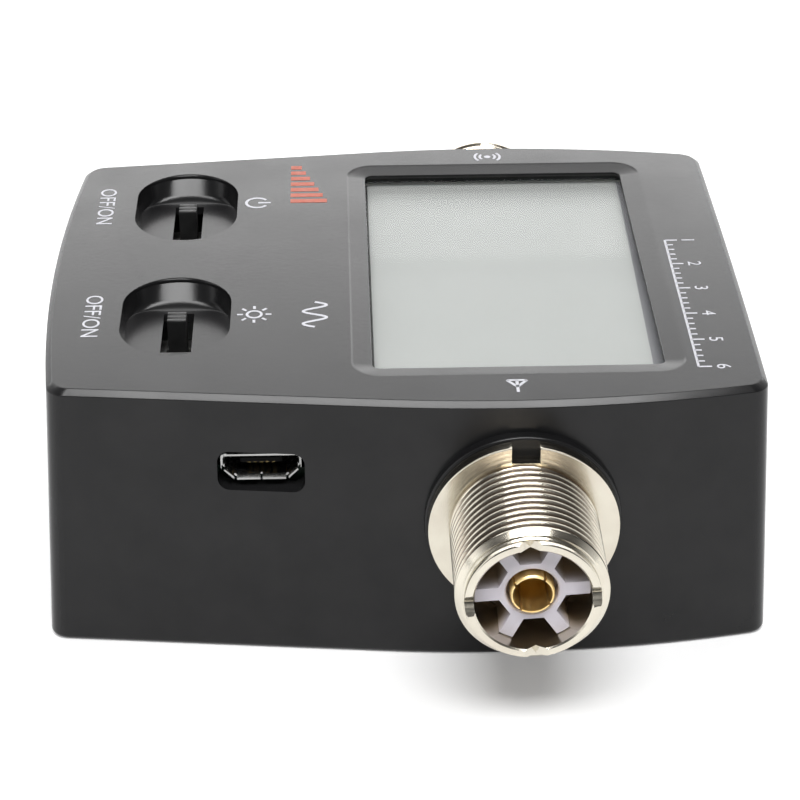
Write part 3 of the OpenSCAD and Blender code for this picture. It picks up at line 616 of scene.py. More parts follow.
CELL = metal_look("cell_foil", (0.52, 0.53, 0.55), (0.62, 0.63, 0.65), (0.32, 0.45))
FOAM = plastic_look("foam", (0.03, 0.03, 0.03), (0.06, 0.06, 0.06), (0.85, 0.95), 0.5)
LEAD = plastic_look("lead_sleeve", (0.32, 0.025, 0.02), (0.42, 0.04, 0.03), (0.35, 0.45))
TAPE = plastic_look("black_tape", (0.006, 0.006, 0.006), (0.012, 0.012, 0.012), (0.6, 0.75))
LENS = lens_look()
WHITE_PRINT = print_look("white_print", (0.54, 0.54, 0.58))
RED_PRINT = print_look("red_print", (0.42, 0.09, 0.05))


# Case

lens_low, lens_high = box_mm("window_lens")
WINDOW = ((lens_low.x + lens_high.x) / 2, (lens_low.y + lens_high.y) / 2)
LENS_GAP = 0.1
LENS_X = lens_high.x - lens_low.x + 2 * LENS_GAP
LENS_Y = lens_high.y - lens_low.y + 2 * LENS_GAP
LENS_MARGIN = 1.4
OPEN_X = LENS_X - 2 * LENS_MARGIN
OPEN_Y = LENS_Y - 2 * LENS_MARGIN
OPEN_R = 0.9
SLOPE_RUN = 2.1
SLOPE_DEPTH = 0.4
LIP_Z = box_mm("lens_tape")[1].z

# Grey border at the right of the display, a little askew, and at its left a near-black strip, painted
# shade that stands for the shaded black wall of the opening
BORDER_W = 0.55
BORDER_TILT = 0.0152
LEFT_SHADE_W = 0.28

light_low, light_high = box_mm("light_switch_base")
power_low, power_high = box_mm("power_switch_base")
SWITCH_X = (light_low.x + light_high.x) / 2
LIGHT_Y = (light_low.y + light_high.y) / 2
POWER_Y = (power_low.y + power_high.y) / 2
DISH_W = 12.1
DISH_LEN = 17.6
DISH_DEPTH = 2.7
DISH_SLOPE = 1.5
DISH_LIP = 0.5
DISH_SIDE_SHARE = 0.06
DISH_Z = CASE_H - DISH_DEPTH
PAD_Z = DISH_Z - 1.0
SLOT_W = 3.4
SLOT_LEN = 7.2
SLOT_SPARE = 1.7

usb_low, usb_high = box_mm("usb_shell")
USB_X = (usb_low.x + usb_high.x) / 2
USB_Z = (usb_low.z + usb_high.z) / 2
USB_MOUTH = usb_low.y
USB_HALF_W = 4.0
USB_HALF_H = 1.3
USB_HALF_FLAT = 2.7
PORT_W = 9.3
PORT_H = 4.6
PORT_R = 1.3
PORT_Z = USB_Z - 0.2

BOARD_TOP = box_mm("main_board")[1].z
BOARD_Z = box_mm("main_board")[0].z
BOSS_R = 3.1
BOSS_INSET = WALL + BOSS_R - 0.5
SCREW_R = 1.25
SCREW_LEN = 9.0
POST_R = 2.2
POST_Y = 9.0
POST_HOLE_R = 1.05
POST_HOLE = 5.4


def boss_places():
    xs = [X_LEFT + BOSS_INSET, X_RIGHT - BOSS_INSET]
    return [(x, sy * (half_width(x) - BOSS_INSET)) for x in xs for sy in (-1, 1)]


def post_places():
    xs = [X_LEFT + WALL + POST_R, X_RIGHT - WALL - POST_R + 0.2]
    return [(x, sy * POST_Y) for x in xs for sy in (-1, 1)]


def on_side(solid, side):
    """Lays a solid with its axis along Z on the near (-1) or far (+1) socket axis."""
    turn = Matrix(((-side, 0, 0, AXIS[0]), (0, 0, side, 0), (0, 1, 0, AXIS[1]), (0, 0, 0, 1)))
    return moved(solid, turn)


def body_rings():
    """Rings of the outside, from the foot to the top face."""
    rings = []
    for i in range(FILLET_STEPS + 1):
        a = math.pi / 2 * i / FILLET_STEPS
        z = FOOT_R * (1 - math.cos(a))
        rings.append(ring(z, spread(z) - FOOT_R * (1 - math.sin(a))))
    blunt = 0.05
    bevel = ((0, EDGE_BEVEL + blunt), (blunt, EDGE_BEVEL - blunt),
             (EDGE_BEVEL - blunt, blunt), (EDGE_BEVEL + blunt, 0))
    for inset, down in bevel:
        z = TOP_Z - down
        rings.append(ring(z, spread(z) - inset))
    return rings


def window_cutter():
    """Sloping recess with a rounded rim, and the opening under it."""
    rim = 0.45
    steps = [(rim, 0.12), (rim * 0.5, 0.0), (0.1, -0.06), (-0.15, -0.16)]
    rings = []
    for grow, up in steps:
        rings.append(rect_ring(OPEN_X + 2 * (SLOPE_RUN + grow), OPEN_Y + 2 * (SLOPE_RUN + grow),
                               3 + grow, TOP_Z + up, WINDOW))
    low = CASE_H - SLOPE_DEPTH
    for grow, z in [(0.12, low + 0.04), (0.03, low - 0.02), (0, low - 0.1), (0, CEILING_Z - CUT)]:
        rings.append(rect_ring(OPEN_X + 2 * grow, OPEN_Y + 2 * grow, OPEN_R + grow, z, WINDOW))
    return loft(rings)


def dish_profile():
    """Inset and depth down the end of a dish: round rim, upright lip, slope and hollow curve."""
    rim = 0.34
    half_right = math.pi / 4
    curve_r = (DISH_DEPTH - DISH_LIP - DISH_SLOPE) / (1 - math.cos(half_right))
    points = [(-rim, -0.14)]
    for i in range(5):
        a = math.pi / 2 * i / 4
        points.append((rim * math.sin(a) - rim, rim * (1 - math.cos(a))))
    points.append((0, DISH_LIP))
    for i in range(9):
        a = half_right * (1 - i / 8)
        points.append((DISH_SLOPE + curve_r * (math.sin(half_right) - math.sin(a)),
                       DISH_DEPTH - curve_r * (1 - math.cos(a))))
    return points


def dish_cutter(y):
    """Finger dish: upright along its sides and sloping at its ends."""
    half_w = DISH_W / 2
    straight = DISH_LEN / 2 - half_w
    steps = 48
    rings = []
    for inset, down in dish_profile():
        points = []
        for i in range(steps):
            a = 2 * math.pi * (i + 0.5) / steps
            end_share = math.sin(a) ** 2
            r_x = half_w - inset * DISH_SIDE_SHARE
            r_y = half_w - inset * (DISH_SIDE_SHARE + (1 - DISH_SIDE_SHARE) * end_share)
            points.append((SWITCH_X + r_x * math.cos(a),
                           y + math.copysign(straight, math.sin(a)) + r_y * math.sin(a), TOP_Z - down))
        rings.append(points)
    return loft(rings)


def port_cutter():
    """Opening for the charging port, through the near wall."""
    stand = Matrix.Translation((USB_X, USB_MOUTH, PORT_Z)) @ Matrix.Rotation(math.pi / 2, 4, "X")
    return moved(slab(PORT_W, PORT_H, PORT_R, -WALL - CUT, CUT + 1, (0, 0)), stand)


def seat_boss():
    """Raised seat for a socket, with a rounded rim."""
    rim = 0.3
    rings = [(SEAT_R, PAD_AT), (SEAT_R, SEAT_AT - rim)]
    for i in range(1, 5):
        a = math.pi / 2 * i / 4
        rings.append((SEAT_R - rim * (1 - math.cos(a)), SEAT_AT - rim * (1 - math.sin(a))))
    return stack(rings, (0, 0))


def make_case():
    case = piece("case_shell", loft(body_rings()))
    cut(case, loft([ring(z, spread(z) - WALL) for z in (-CUT, CEILING_Z)]))
    cut(case, loft([ring(z, spread(0) - RIM_W) for z in (-CUT, PLATE_T)]))
    root = CEILING_Z + 0.05
    pads = [on_side(seat_boss(), side) for side in (-1, 1)]
    unite(case, *[rod(BOSS_R, PLATE_T, root, p, 40) for p in boss_places()], *pads)
    unite(case, *[rod(POST_R, BOARD_TOP, root, p, 32) for p in post_places()])
    dishes = (LIGHT_Y, POWER_Y)
    unite(case, *[block(DISH_W + 2, DISH_LEN + 2, PAD_Z, root, (SWITCH_X, y)) for y in dishes])
    cut(case, window_cutter(), *[dish_cutter(y) for y in dishes], port_cutter())
    pocket = slab(LENS_X, LENS_Y, OPEN_R, CEILING_Z - CUT, LIP_Z, WINDOW)
    slot_len = SLOT_LEN + SLOT_SPARE
    slots = [block(SLOT_W, slot_len, PAD_Z - CUT, CASE_H - 1, (SWITCH_X, y + SLOT_SPARE / 2))
             for y in dishes]
    holes = [on_side(rod(THREAD_R + 0.1, PAD_AT - CUT, SEAT_AT + CUT, (0, 0)), s) for s in (-1, 1)]
    screws = [rod(SCREW_R + GAP, -CUT, PLATE_T + SCREW_LEN, p, 24) for p in boss_places()]
    taps = [rod(POST_HOLE_R, BOARD_Z, BOARD_TOP + POST_HOLE, p, 24) for p in post_places()]
    cut(case, pocket, *slots, *holes, *screws, *taps)
    cut(case, *[on_side(rod(FLANGE_R + 0.4, FLANGE_BACK - 0.4, PAD_AT, (0, 0)), s) for s in (-1, 1)])
    smooth(case, 34)
    dress(case, PAINT, nodes=["case"])


def make_base():
    """Plate in the foot of the case, and its four countersunk screws."""
    grow = spread(0) - RIM_W - 0.15
    edge = 0.25
    rings = [ring(0, grow - edge), ring(edge, grow), ring(PLATE_T, grow)]
    plate = piece("base_cover", loft(rings))
    head_r = 2 * SCREW_R
    hole_r = SCREW_R + 2 * GAP
    sink = head_r - SCREW_R
    cross = (head_r * 1.2, head_r / 4)
    hole = [(head_r + 2 * GAP, -0.1), (hole_r, sink), (hole_r, PLATE_T + CUT)]
    screw = [(head_r - 0.12, 0), (head_r, 0.1), (SCREW_R, sink), (SCREW_R, SCREW_LEN)]
    holes = [stack(hole, p, 40) for p in boss_places()]
    screws = [stack(screw, p, 40) for p in boss_places()]
    cut(plate, *holes)
    smooth(plate)
    dress(plate, PAINT, nodes=["base_plate"])
    heads = piece("base_screw_set", joined(*screws))
    for x, y in (cross, cross[::-1]):
        cut(heads, *[block(x, y, -CUT, head_r / 4, p) for p in boss_places()])
    smooth(heads)
    dress(heads, BLACK_SCREW, nodes=["base_screws"])


# Window and display


DISPLAY = display_look()


def make_window():
    x, y = lens_high.x - lens_low.x, lens_high.y - lens_low.y
    low, high = lens_low.z, lens_high.z
    bevel = 0.12
    levels = ((bevel, low), (0, low + bevel), (0, high - bevel), (bevel, high))
    rings = [rect_ring(x - 2 * b, y - 2 * b, OPEN_R - b, z, WINDOW) for b, z in levels]
    lens = piece("clear_lens", loft(rings))
    smooth(lens)
    dress(lens, LENS, nodes=["window_lens"])


def make_display():
    """Two sheets of glass with the polariser on top, the lower sheet longer for its contacts."""
    low, high = box_mm("lcd_glass")
    x, y = high.x - low.x, high.y - low.y
    middle = (low.z + high.z) / 2
    film = 0.2
    ledge = 0.8
    inset = 0.6
    lower = slab(x, y, 0.1, low.z, middle, WINDOW)
    upper = slab(x - 2 * ledge, y, 0.1, middle, high.z - film, WINDOW)
    cover = slab(x - 2 * ledge - inset, y - inset, 0.5, high.z - film, high.z, WINDOW)
    glass = piece("display_glass", joined(lower, upper, cover))
    smooth(glass)
    dress(glass, DISPLAY, nodes=["lcd_glass"])


# Switches


def make_lever(name):
    """Slider with a ridged lever that stands up through the slot."""
    low, high = box_mm(name + "_switch_lever")
    x = (low.x + high.x) / 2
    y = (low.y + high.y) / 2
    lever_w, lever_len = 2.1, 2.4
    shoulder = box_mm(name + "_switch_frame")[1].z - 0.7
    foot = shoulder - 0.2
    slider = block(high.x - low.x, high.y - low.y, low.z, shoulder, (x, y))
    ridges = 3
    pitch = lever_len / ridges
    depth = 0.25
    low_z = high.z - depth
    crown = [(-lever_len / 2, foot), (-lever_len / 2, low_z)]
    for i in range(ridges):
        start = -lever_len / 2 + i * pitch
        crown += [(start + 0.16 * pitch, high.z), (start + 0.62 * pitch, high.z),
                  (start + 0.8 * pitch, low_z), (start + 0.98 * pitch, low_z)]
    crown[-1] = (lever_len / 2, low_z)
    crown.append((lever_len / 2, foot))
    sides = [[(x + sx * lever_w / 2, y + v, z) for v, z in crown] for sx in (-1, 1)]
    lever = piece(name + "_lever_knob", slider)
    unite(lever, loft(sides))
    soften(lever, 0.06)
    smooth(lever)
    dress(lever, BLACK_PLASTIC, name + "_lever", [name + "_switch_lever"])


# Charging port


def port_ring(grow, y):
    """Section of the port's shell: wide at the top, cut off at its lower corners."""
    half, top, flat = USB_HALF_W + grow, USB_HALF_H + grow, USB_HALF_FLAT + grow / 2
    side = -0.1
    shape = [(-flat, -top), (flat, -top), (half, side), (half, top), (-half, top), (-half, side)]
    corners = [Vector(p) for p in shape]
    points = []
    for i, corner in enumerate(corners):
        points += corner_arc(corner, corners[i - 1], corners[(i + 1) % len(corners)], 0.35)
    return [(USB_X + p.x, y, USB_Z + p.y) for p in points]


def make_port():
    sheet = 0.22
    flare = 0.28
    back = usb_high.y
    mouth = USB_MOUTH
    outside = [(flare, mouth), (flare * 0.55, mouth + 0.25), (0.05, mouth + 0.6), (0, mouth + 0.9),
               (0, back)]
    inside = [(g - sheet, y) for g, y in outside]
    shell = piece("port_shell", loft([port_ring(g, y) for g, y in outside]))
    hollow = [(inside[0][0] + flare * 0.4, mouth - 0.2)] + inside[:-1] + [(inside[-1][0], back + CUT)]
    cut(shell, loft([port_ring(g, y) for g, y in hollow]))
    seam, tab_gap, tab_len = 0.22, 0.3, 0.7
    gaps = [block(seam, 0.9, USB_Z - 2, USB_Z - 0.4, (USB_X, mouth + 0.25))]
    for sx in (-1, 1):
        for across, up in ((2.75, -1.35), (4.05, -0.1), (3.8, 1.3)):
            place = (USB_X + sx * across, mouth + 0.1)
            gaps.append(block(tab_gap, tab_len, USB_Z + up - 0.3, USB_Z + up + 0.35, place))
    cut(shell, *gaps)
    smooth(shell, 40)
    dress(shell, STEEL, nodes=["usb_shell"])


# Sockets


def thread_points(turn):
    """Points along the thread at a share of a turn; those past an end of it lie on that end."""
    start, stop = SEAT_AT, RIM_AT - BAND_LEN
    points = []
    for k in range(-1, int((stop - start) / THREAD_PITCH) + 2):
        for share, depth in THREAD_FORM:
            w = min(stop, max(start, start + THREAD_PITCH * (k + share + turn)))
            fade = min(1, 2 * (stop - w) / THREAD_PITCH, (w - start) / THREAD_PITCH)
            points.append((THREAD_R - THREAD_DEPTH * depth * fade, w))
    return points


def barrel():
    """Shell of a socket: flange, thread, lead-in, nose and bore."""
    steps = 112
    front = PAD_AT - 0.4
    bevel = 0.2
    flange = [(REAR_BOSS_R + GAP, FLANGE_BACK), (FLANGE_R - bevel, FLANGE_BACK),
              (FLANGE_R, FLANGE_BACK + bevel), (FLANGE_R, front - bevel), (FLANGE_R - bevel, front),
              (THREAD_R, front)]
    shoulder = RIM_AT - NOSE_LEN
    edge = 0.16
    nose = [(THREAD_R, shoulder - LEAD_IN), (THREAD_R - LEAD_IN, shoulder),
            (NOSE_R + edge, shoulder), (NOSE_R, shoulder + edge),
            (NOSE_R, RIM_AT - edge), (NOSE_R - 0.3 * edge, RIM_AT - 0.3 * edge),
            (NOSE_R - edge, RIM_AT), (BORE_R + edge, RIM_AT), (BORE_R, RIM_AT - edge),
            (BORE_R, INSULATOR_BACK), (REAR_BOSS_R + GAP, INSULATOR_BACK)]
    first = len(flange)
    last = first + len(thread_points(0)) - 1
    sections = [flange + thread_points(i / steps) + nose for i in range(steps)]
    return revolve(sections, (first, last, len(THREAD_FORM)))


def notch_cutters():
    """Four V notches across the nose."""
    over = 0.1
    half = NOTCH_W / 2 * (1 + over / NOTCH_DEPTH)
    top = RIM_AT + over
    low = RIM_AT - NOTCH_DEPTH
    blunt = 0.15
    section = [(-half, top), (-blunt, low + 0.1), (0, low), (blunt, low + 0.1), (half, top)]
    cutters = []
    for k in range(4):
        turn = Matrix.Rotation(math.radians(SOCKET_TURN + 90 * k), 4, "Z")
        ends = [[(r, across, w) for across, w in section] for r in (BORE_R - 1, THREAD_R + 1)]
        cutters.append(moved(loft(ends), turn))
    return cutters


def make_socket(name, side):
    shell = piece(name + "_barrel", on_side(barrel(), side), weld=True)
    cut(shell, *[on_side(c, side) for c in notch_cutters()])
    smooth(shell, 44.5)
    dress(shell, NICKEL, nodes=[name + "_socket_shell"])
    make_nut(name, side)
    make_insulator(name, side)
    make_contact(name, side)


def make_nut(name, side):
    """Ring nut with two spanner slots."""
    low, high = box_mm(name + "_ring_nut")
    r = (high.x - low.x) / 2
    back, front = sorted((abs(low.y), abs(high.y)))
    bore = THREAD_R - THREAD_DEPTH
    edge = 0.18
    profile = [(bore, back), (r - edge, back), (r, back + edge), (r, front - edge),
               (r - 0.3 * edge, front - 0.3 * edge), (r - edge, front), (bore, front)]
    nut = piece(name + "_nut", on_side(lathe(profile), side))
    slot_w, slot_depth = 3.0, 1.95
    slots = [block(slot_w, 2 * slot_depth, back - CUT, front + CUT, (0, s * r)) for s in (-1, 1)]
    cut(nut, *[on_side(s, side) for s in slots])
    smooth(nut, 40)
    dress(nut, NICKEL, nodes=[name + "_ring_nut"])


def void_outline(k, hub_r, outer_r, spoke_w):
    """Outline of one hollow between two spokes."""
    steps = 10
    middle = math.pi / 3 * (k + 0.5) + math.radians(SOCKET_TURN)
    half = math.pi / 6
    inner_a = half - math.asin(spoke_w / 2 / hub_r)
    outer_a = half - math.asin(spoke_w / 2 / outer_r)
    points = [(hub_r, -inner_a), (hub_r, inner_a)]
    points += [(outer_r, outer_a - 2 * outer_a * i / steps) for i in range(steps + 1)]
    return [(r * math.cos(middle + a), r * math.sin(middle + a)) for r, a in reversed(points)]


def make_insulator(name, side):
    """Hub on six spokes, with deep hollows between them."""
    body_r = BORE_R - GAP
    hub_r, well_r, hole_r, cup_r = 3.5, 2.7, 2.35, 1.65
    back = -box_mm("ant_insulator")[1].y
    well, void, ring_drop, ring_t, spoke_w = 2.0, 8.0, 5.0, 0.7, 1.5
    contact_back = -box_mm("ant_contact")[0].y - CONTACT_LEN
    front = INSULATOR_FRONT
    profile = [(cup_r, back), (REAR_BOSS_R, back), (REAR_BOSS_R, INSULATOR_BACK),
               (body_r, INSULATOR_BACK), (body_r, front - 0.1), (body_r - 0.1, front),
               (well_r + 0.15, front), (well_r, front - 0.15), (well_r, front - well),
               (hole_r, front - well), (hole_r, contact_back), (cup_r, contact_back)]
    body = piece(name + "_spider", on_side(lathe(profile, 72), side))
    deep, shallow = [], []
    for k in range(6):
        for group, reach, depth in ((deep, body_r - ring_t, void), (shallow, body_r + 0.5, ring_drop)):
            shape = void_outline(k, hub_r, reach, spoke_w)
            ends = [[(x, y, w) for x, y in shape] for w in (front - depth, front + CUT)]
            group.append(on_side(loft(ends), side))
    cut(body, *deep)
    cut(body, *shallow)
    smooth(body, 35)
    dress(body, INSULATOR, nodes=[name + "_insulator"])


def make_contact(name, side):
    """Gold tube split by two crossed slits, with a solder cup behind."""
    low, high = box_mm("ant_contact")
    front, back = -low.y, -high.y
    outer_r, bore_r, cup_r, cup_bore_r = 2.3, 1.98, 1.6, 0.85
    floor = front - CONTACT_BORE
    cup_floor = back + 3.4
    edge = 0.1
    centre_r = 0.001
    tube = [(centre_r, floor), (bore_r, floor), (bore_r, front - 1.6 * edge), (bore_r + 0.6 * edge, front),
            (outer_r - 1.2 * edge, front), (outer_r, front - 1.6 * edge), (outer_r, floor - CUT),
            (cup_r, floor - CUT), (cup_r, back), (cup_bore_r, back), (cup_bore_r, cup_floor),
            (centre_r, cup_floor)]
    contact = piece(name + "_pin_tube", on_side(lathe(tube, 64), side))
    slit_w, slit_len = 0.3, 6.0
    blade = block(2 * outer_r, slit_w, front - slit_len, front + CUT, (outer_r, 0))
    for turn in range(SLIT_TURN, SLIT_TURN + 360, 90):
        spin = Matrix.Rotation(math.radians(turn), 4, "Z")
        cut(contact, on_side(moved(blade, spin), side))
    smooth(contact, 35)
    dress(contact, GOLD, nodes=[name + "_contact"])


# Print on the top face


def ribbon(points, width, closed=False):
    """Flat stroke of a width through points in the plane."""
    pts = [Vector(p) for p in points]
    n = len(pts)
    rows = []
    for i, p in enumerate(pts):
        before = pts[i - 1] if i or closed else p
        after = pts[(i + 1) % n] if i < n - 1 or closed else p
        along = (after - before).normalized()
        side = Vector((-along.y, along.x)) * width / 2
        rows.append((p + side, p - side))
    verts = [tuple(q) for row in rows for q in row]
    last = n if closed else n - 1
    faces = [(2 * i, 2 * i + 1, (2 * i + 3) % (2 * n), (2 * i + 2) % (2 * n)) for i in range(last)]
    return verts, faces


def arc_points(centre, r, start, stop, steps=20):
    turns = [math.radians(start + (stop - start) * i / steps) for i in range(steps + 1)]
    return [(centre[0] + r * math.cos(a), centre[1] + r * math.sin(a)) for a in turns]


def disc(centre, r, steps=20):
    ring_points = arc_points(centre, r, 0, 360, steps)[:-1]
    return ring_points, [tuple(range(steps))]


def letters(text, height, centre):
    """Letters as flat faces, centred on a point."""
    curve = bpy.data.curves.new("letters", "FONT")
    curve.body = text
    curve.size = height / 0.72
    curve.align_x = "CENTER"
    curve.align_y = "CENTER"
    holder = add_object("letters", curve)
    shapes = bpy.context.evaluated_depsgraph_get()
    mesh = holder.evaluated_get(shapes).to_mesh()
    verts = [(v.co.x + centre[0], v.co.y + centre[1]) for v in mesh.vertices]
    faces = [tuple(f.vertices) for f in mesh.polygons]
    holder.evaluated_get(shapes).to_mesh_clear()
    bpy.data.objects.remove(holder)
    return verts, faces


def stamp(name, shapes, place, turn, material):
    """Lays flat shapes on the top face as a thin film, turned in degrees."""
    verts, faces = joined(*shapes)
    spin = Matrix.Rotation(math.radians(turn), 2)
    flat = [spin @ Vector(v[:2]) + Vector(place) for v in verts]
    mesh = bpy.data.meshes.new(name)
    mesh.from_pydata([(v.x * MM, v.y * MM, TOP_Z * MM) for v in flat], [], faces)
    film = bmesh.new()
    film.from_mesh(mesh)
    bmesh.ops.remove_doubles(film, verts=film.verts, dist=1e-7)
    bmesh.ops.recalc_face_normals(film, faces=film.faces)
    for face in film.faces:
        if face.normal.z < 0:
            face.normal_flip()
    raised = bmesh.ops.extrude_face_region(film, geom=film.faces[:])
    tops = [v for v in raised["geom"] if isinstance(v, bmesh.types.BMVert)]
    for v in tops:
        v.co.z += 0.8 * PRINT_T * MM
    bmesh.ops.recalc_face_normals(film, faces=film.faces)
    film.to_mesh(mesh)
    film.free()
    dress(add_object(name, mesh), material)


def lamp_symbol(r):
    rays = []
    for k in range(8):
        a = math.pi / 4 * k
        d = Vector((math.cos(a), math.sin(a)))
        rays.append(ribbon([d * r * 0.66, d * r], 0.3))
    return [ribbon(arc_points((0, 0), r * 0.42, 0, 360)[:-1], 0.3, True), *rays]


def power_symbol(r):
    return [ribbon(arc_points((0, 0), r, 125, 415), 0.34), ribbon([(0, 0.1 * r), (0, 1.25 * r)], 0.34)]


def aerial_symbol(h):
    left, right, top, fork = -h * 0.42, h * 0.42, h / 2, (0, -h * 0.06)
    stroke = 0.32
    return [ribbon([(0, -top), (0, top)], stroke), ribbon([(left, top), fork], stroke),
            ribbon([(right, top), fork], stroke), ribbon([(left, top), (right, top)], 0.3)]


def transmit_symbol(h):
    half = 42
    waves = [ribbon(arc_points((0, 0), r * h, a - half, a + half), 0.3)
             for r in (0.38, 0.62) for a in (0, 180)]
    return [disc((0, 0), 0.16 * h), *waves]


def wave_symbol(length, height):
    steps = 36
    shares = [i / steps for i in range(steps + 1)]
    points = [(length * (t - 0.5), height / 2 * math.sin(4 * math.pi * t)) for t in shares]
    return [ribbon(points, 0.36)]


def level_bars(length, height, count):
    pitch = length / count
    bars = []
    for i in range(count):
        x = -length / 2 + (i + 0.5) * pitch
        top = -height / 2 + height * (0.3 + 0.7 * i / (count - 1))
        bars.append(ribbon([(x, -height / 2), (x, top)], 0.62 * pitch))
    return bars


def tick_scale(length, height, numbers):
    """Row of ticks with a number at each long one."""
    small = 5
    count = small * (len(numbers) - 1)
    marks = [ribbon([(-length / 2, -height / 2), (length / 2, -height / 2)], 0.26)]
    for i in range(count + 1):
        x = -length / 2 + length * i / count
        tall = 0.42 if i % small == 0 else 0.24
        marks.append(ribbon([(x, -height / 2), (x, -height / 2 + tall * height)], 0.26))
    for i, number in enumerate(numbers):
        x = -length / 2 + length * i / (len(numbers) - 1)
        marks.append(letters(number, 0.46 * height, (x, 0.27 * height)))
    return marks


def make_print():
    down = -90
    stamp("scale_print", tick_scale(30.0, 3.4, "123456"), (33.45, -10.0), down, WHITE_PRINT)
    stamp("wave_print", wave_symbol(5.8, 2.6), (-9.1, -11.9), down, WHITE_PRINT)
    stamp("level_print", level_bars(11.0, 4.4, 7), (-9.85, 21.75), down, RED_PRINT)
    stamp("lamp_print", lamp_symbol(1.9), (-15.8, -11.7), down, WHITE_PRINT)
    stamp("power_print", power_symbol(1.3), (-16.05, 16.65), down, WHITE_PRINT)
    words_h = 1.95
    stamp("light_words", [letters("OFF/ON", words_h, (0, 0))], (-33.8, -11.55), down, WHITE_PRINT)
    stamp("power_words", [letters("OFF/ON", words_h, (0, 0))], (-34.2, 16.2), down, WHITE_PRINT)
    stamp("aerial_print", aerial_symbol(2.5), (12.2, -28.5), 0, WHITE_PRINT)
    stamp("transmit_print", transmit_symbol(2.5), (12.4, 28.9), 180, WHITE_PRINT)


# Nodes that keep their own shape

KEPT = {
    TAPE: ["lens_tape"],
    WHITE_PLASTIC: ["lcd_frame", "coupler_pillars", "battery_plug"],
    LIGHT_GUIDE: ["backlight_panel"],
    LAMP: ["backlight_lamps"],
    TIN: ["lcd_pins", "board_screws", "light_switch_frame", "power_switch_frame",
          "ant_earth_tag", "tx_earth_tag"],
    BOARD: ["main_board", "coupler_board"],
    CHIP: ["microcontroller"],
    COMPONENT: ["board_components"],
    BLACK_PLASTIC: ["light_switch_base", "power_switch_base"],
    DULL_PLASTIC: ["usb_tongue"],
    GOLD: ["usb_contacts", "link_header", "light_switch_terminals", "power_switch_terminals",
           "light_switch_wiper", "power_switch_wiper"],
    COPPER: ["through_line", "coupler_windings"],
    FERRITE: ["coupler_cores"],
    CELL: ["battery_cell"],
    FOAM: ["battery_pad"],
    LEAD: ["battery_leads"],
}


def dress_kept_nodes():
    for material, nodes in KEPT.items():
        for name in nodes:
            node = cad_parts[name]
            node.data.materials.clear()
            node.data.materials.append(material)


# Studio


def shown_to_rays(nodes):
    """1 for rays that show the background: from the camera, a mirror or a lens."""
    path = nodes.node("LightPath").outputs
    mirror_or_lens = nodes.math("MAXIMUM", path["Is Glossy Ray"], path["Is Transmission Ray"])
    return nodes.math("MAXIMUM", path["Is Camera Ray"], mirror_or_lens)


def make_world():
    """White where it is seen, a soft fill where it only lights, and dim in mirrors on the near side."""
    world = bpy.data.worlds.new("studio")
    bpy.context.scene.world = world
    world.use_nodes = True
    world.node_tree.nodes.clear()
    nodes = Nodes(world.node_tree, "Generated")
    fill = nodes.node("Background")
    fill.inputs["Color"].default_value = (0.95, 0.97, 1.0, 1)
    fill.inputs["Strength"].default_value = 0.18
    near_side = nodes.vector("DOT_PRODUCT", nodes.place, (0.0, -0.8, 0.6))["Value"]
    room = nodes.span(near_side, 0.1, 0.6, 1.0, 0.08)
    camera_ray = nodes.node("LightPath").outputs["Is Camera Ray"]
    white = nodes.node("Background")
    white.inputs["Color"].default_value = (1, 1, 1, 1)
    nodes.link(nodes.math("MAXIMUM", camera_ray, room), white.inputs["Strength"])
    seen = nodes.blend(shown_to_rays(nodes), fill.outputs["Background"], white.outputs["Background"])
    nodes.link(seen, nodes.node("OutputWorld").inputs["Surface"])


def make_floor():
    """White floor that keeps the shadow, and glows white far from the object."""
    size = 3.0
    corners = [(-size, -size, 0), (size, -size, 0), (size, size, 0), (-size, size, 0)]
    mesh = bpy.data.meshes.new("floor")
    mesh.from_pydata(corners, [], [(0, 1, 2, 3)])
    floor = add_object("floor", mesh)
    look = Look("floor_sheet", Roughness=0.4)
    look.colour(look.patches(60, (0.80, 0.80, 0.80), (0.82, 0.82, 0.82)))
    away = look.vector("LENGTH", look.place)["Value"]
    level = look.span(away, 0.3, 0.9, 0.19, 1.0)
    glow = look.node("Emission")
    look.link(look.math("MULTIPLY", shown_to_rays(look), level), glow.inputs["Strength"])
    both = look.node("AddShader")
    look.link(look.shader.outputs["BSDF"], both.inputs[0])
    look.link(glow.outputs["Emission"], both.inputs[1])
    look.surface(both.outputs["Shader"])
    mesh.materials.append(look.material)


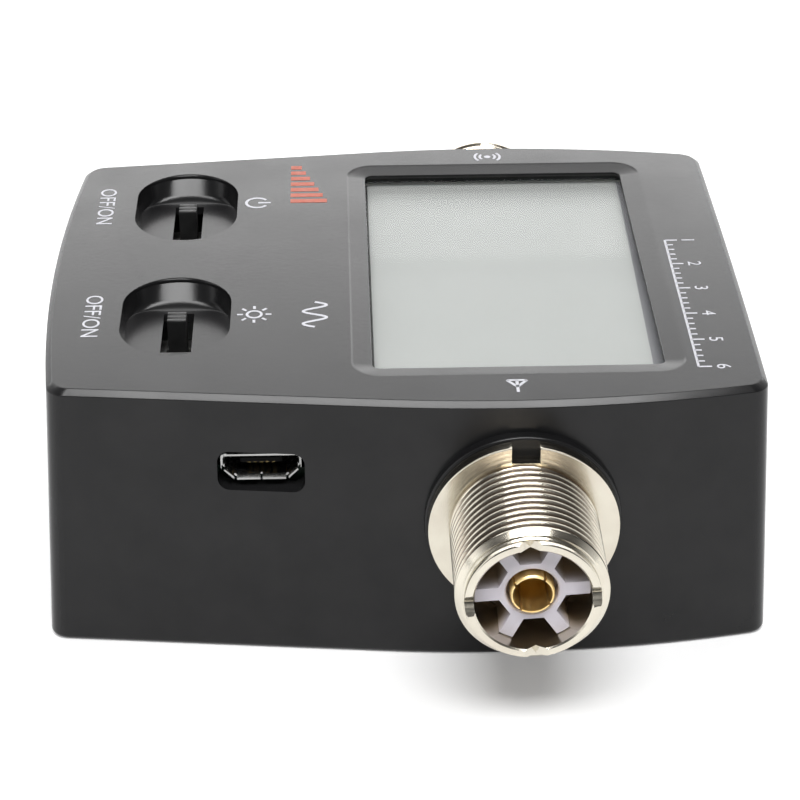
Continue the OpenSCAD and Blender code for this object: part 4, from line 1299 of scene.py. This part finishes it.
def soft_box(name, place, aim, width, height, radiance):
    """Rectangular lamp of a radiance, turned to a point, in metres."""
    lamp = bpy.data.lights.new(name, "AREA")
    lamp.shape = "RECTANGLE"
    lamp.size = width
    lamp.size_y = height
    lamp.energy = radiance * math.pi * width * height
    holder = add_object(name, lamp)
    holder.location = place
    holder.rotation_euler = (Vector(aim) - Vector(place)).to_track_quat("-Z", "Y").to_euler()
    holder.visible_camera = False


def make_lamps():
    middle = (0, 0, 0.02)
    soft_box("top_box", (0.0, -0.36, 0.70), middle, 0.52, 0.26, 15.0)
    soft_box("back_box", (0.0, 0.95, 0.40), middle, 2.0, 0.20, 3.45)
    soft_box("high_box", (0.0, 0.80, 0.58), middle, 2.0, 0.24, 0.8)
    soft_box("sky_box", (0.0, 0.50, 0.78), middle, 1.6, 0.34, 2.3)
    soft_box("left_box", (-0.8, -0.25, 0.35), middle, 0.4, 0.5, 1.2)


# Camera, from the photograph's viewpoint, in millimetres and radians
CAMERA_AT = (-6.416, -254.519, 161.360)
CAMERA_YAW = 0.02767
CAMERA_PITCH = 0.52792
CAMERA_ROLL = -0.00255
CAMERA_LENS = 111.96


def make_camera():
    data = bpy.data.cameras.new("camera")
    data.sensor_width = 36
    data.lens = CAMERA_LENS
    data.clip_start = 0.01
    camera = add_object("camera", data)
    level = math.cos(CAMERA_PITCH)
    ahead = (math.sin(CAMERA_YAW) * level, math.cos(CAMERA_YAW) * level, -math.sin(CAMERA_PITCH))
    forward = Vector(ahead)
    right = Vector((math.cos(CAMERA_YAW), -math.sin(CAMERA_YAW), 0))
    up = right.cross(forward)
    c, s = math.cos(CAMERA_ROLL), math.sin(CAMERA_ROLL)
    right, up = c * right + s * up, c * up - s * right
    turn = Matrix((right, up, -forward)).transposed().to_4x4()
    camera.matrix_world = Matrix.Translation(Vector(CAMERA_AT) * MM) @ turn
    bpy.context.scene.camera = camera


make_case()
make_base()
make_window()
make_display()
make_lever("light")
make_lever("power")
make_port()
make_socket("ant", -1)
make_socket("tx", 1)
make_print()
dress_kept_nodes()
make_world()
make_floor()
make_lamps()
make_camera()
bpy.context.scene.view_settings.view_transform = "Standard"

bpy.context.view_layer.update()
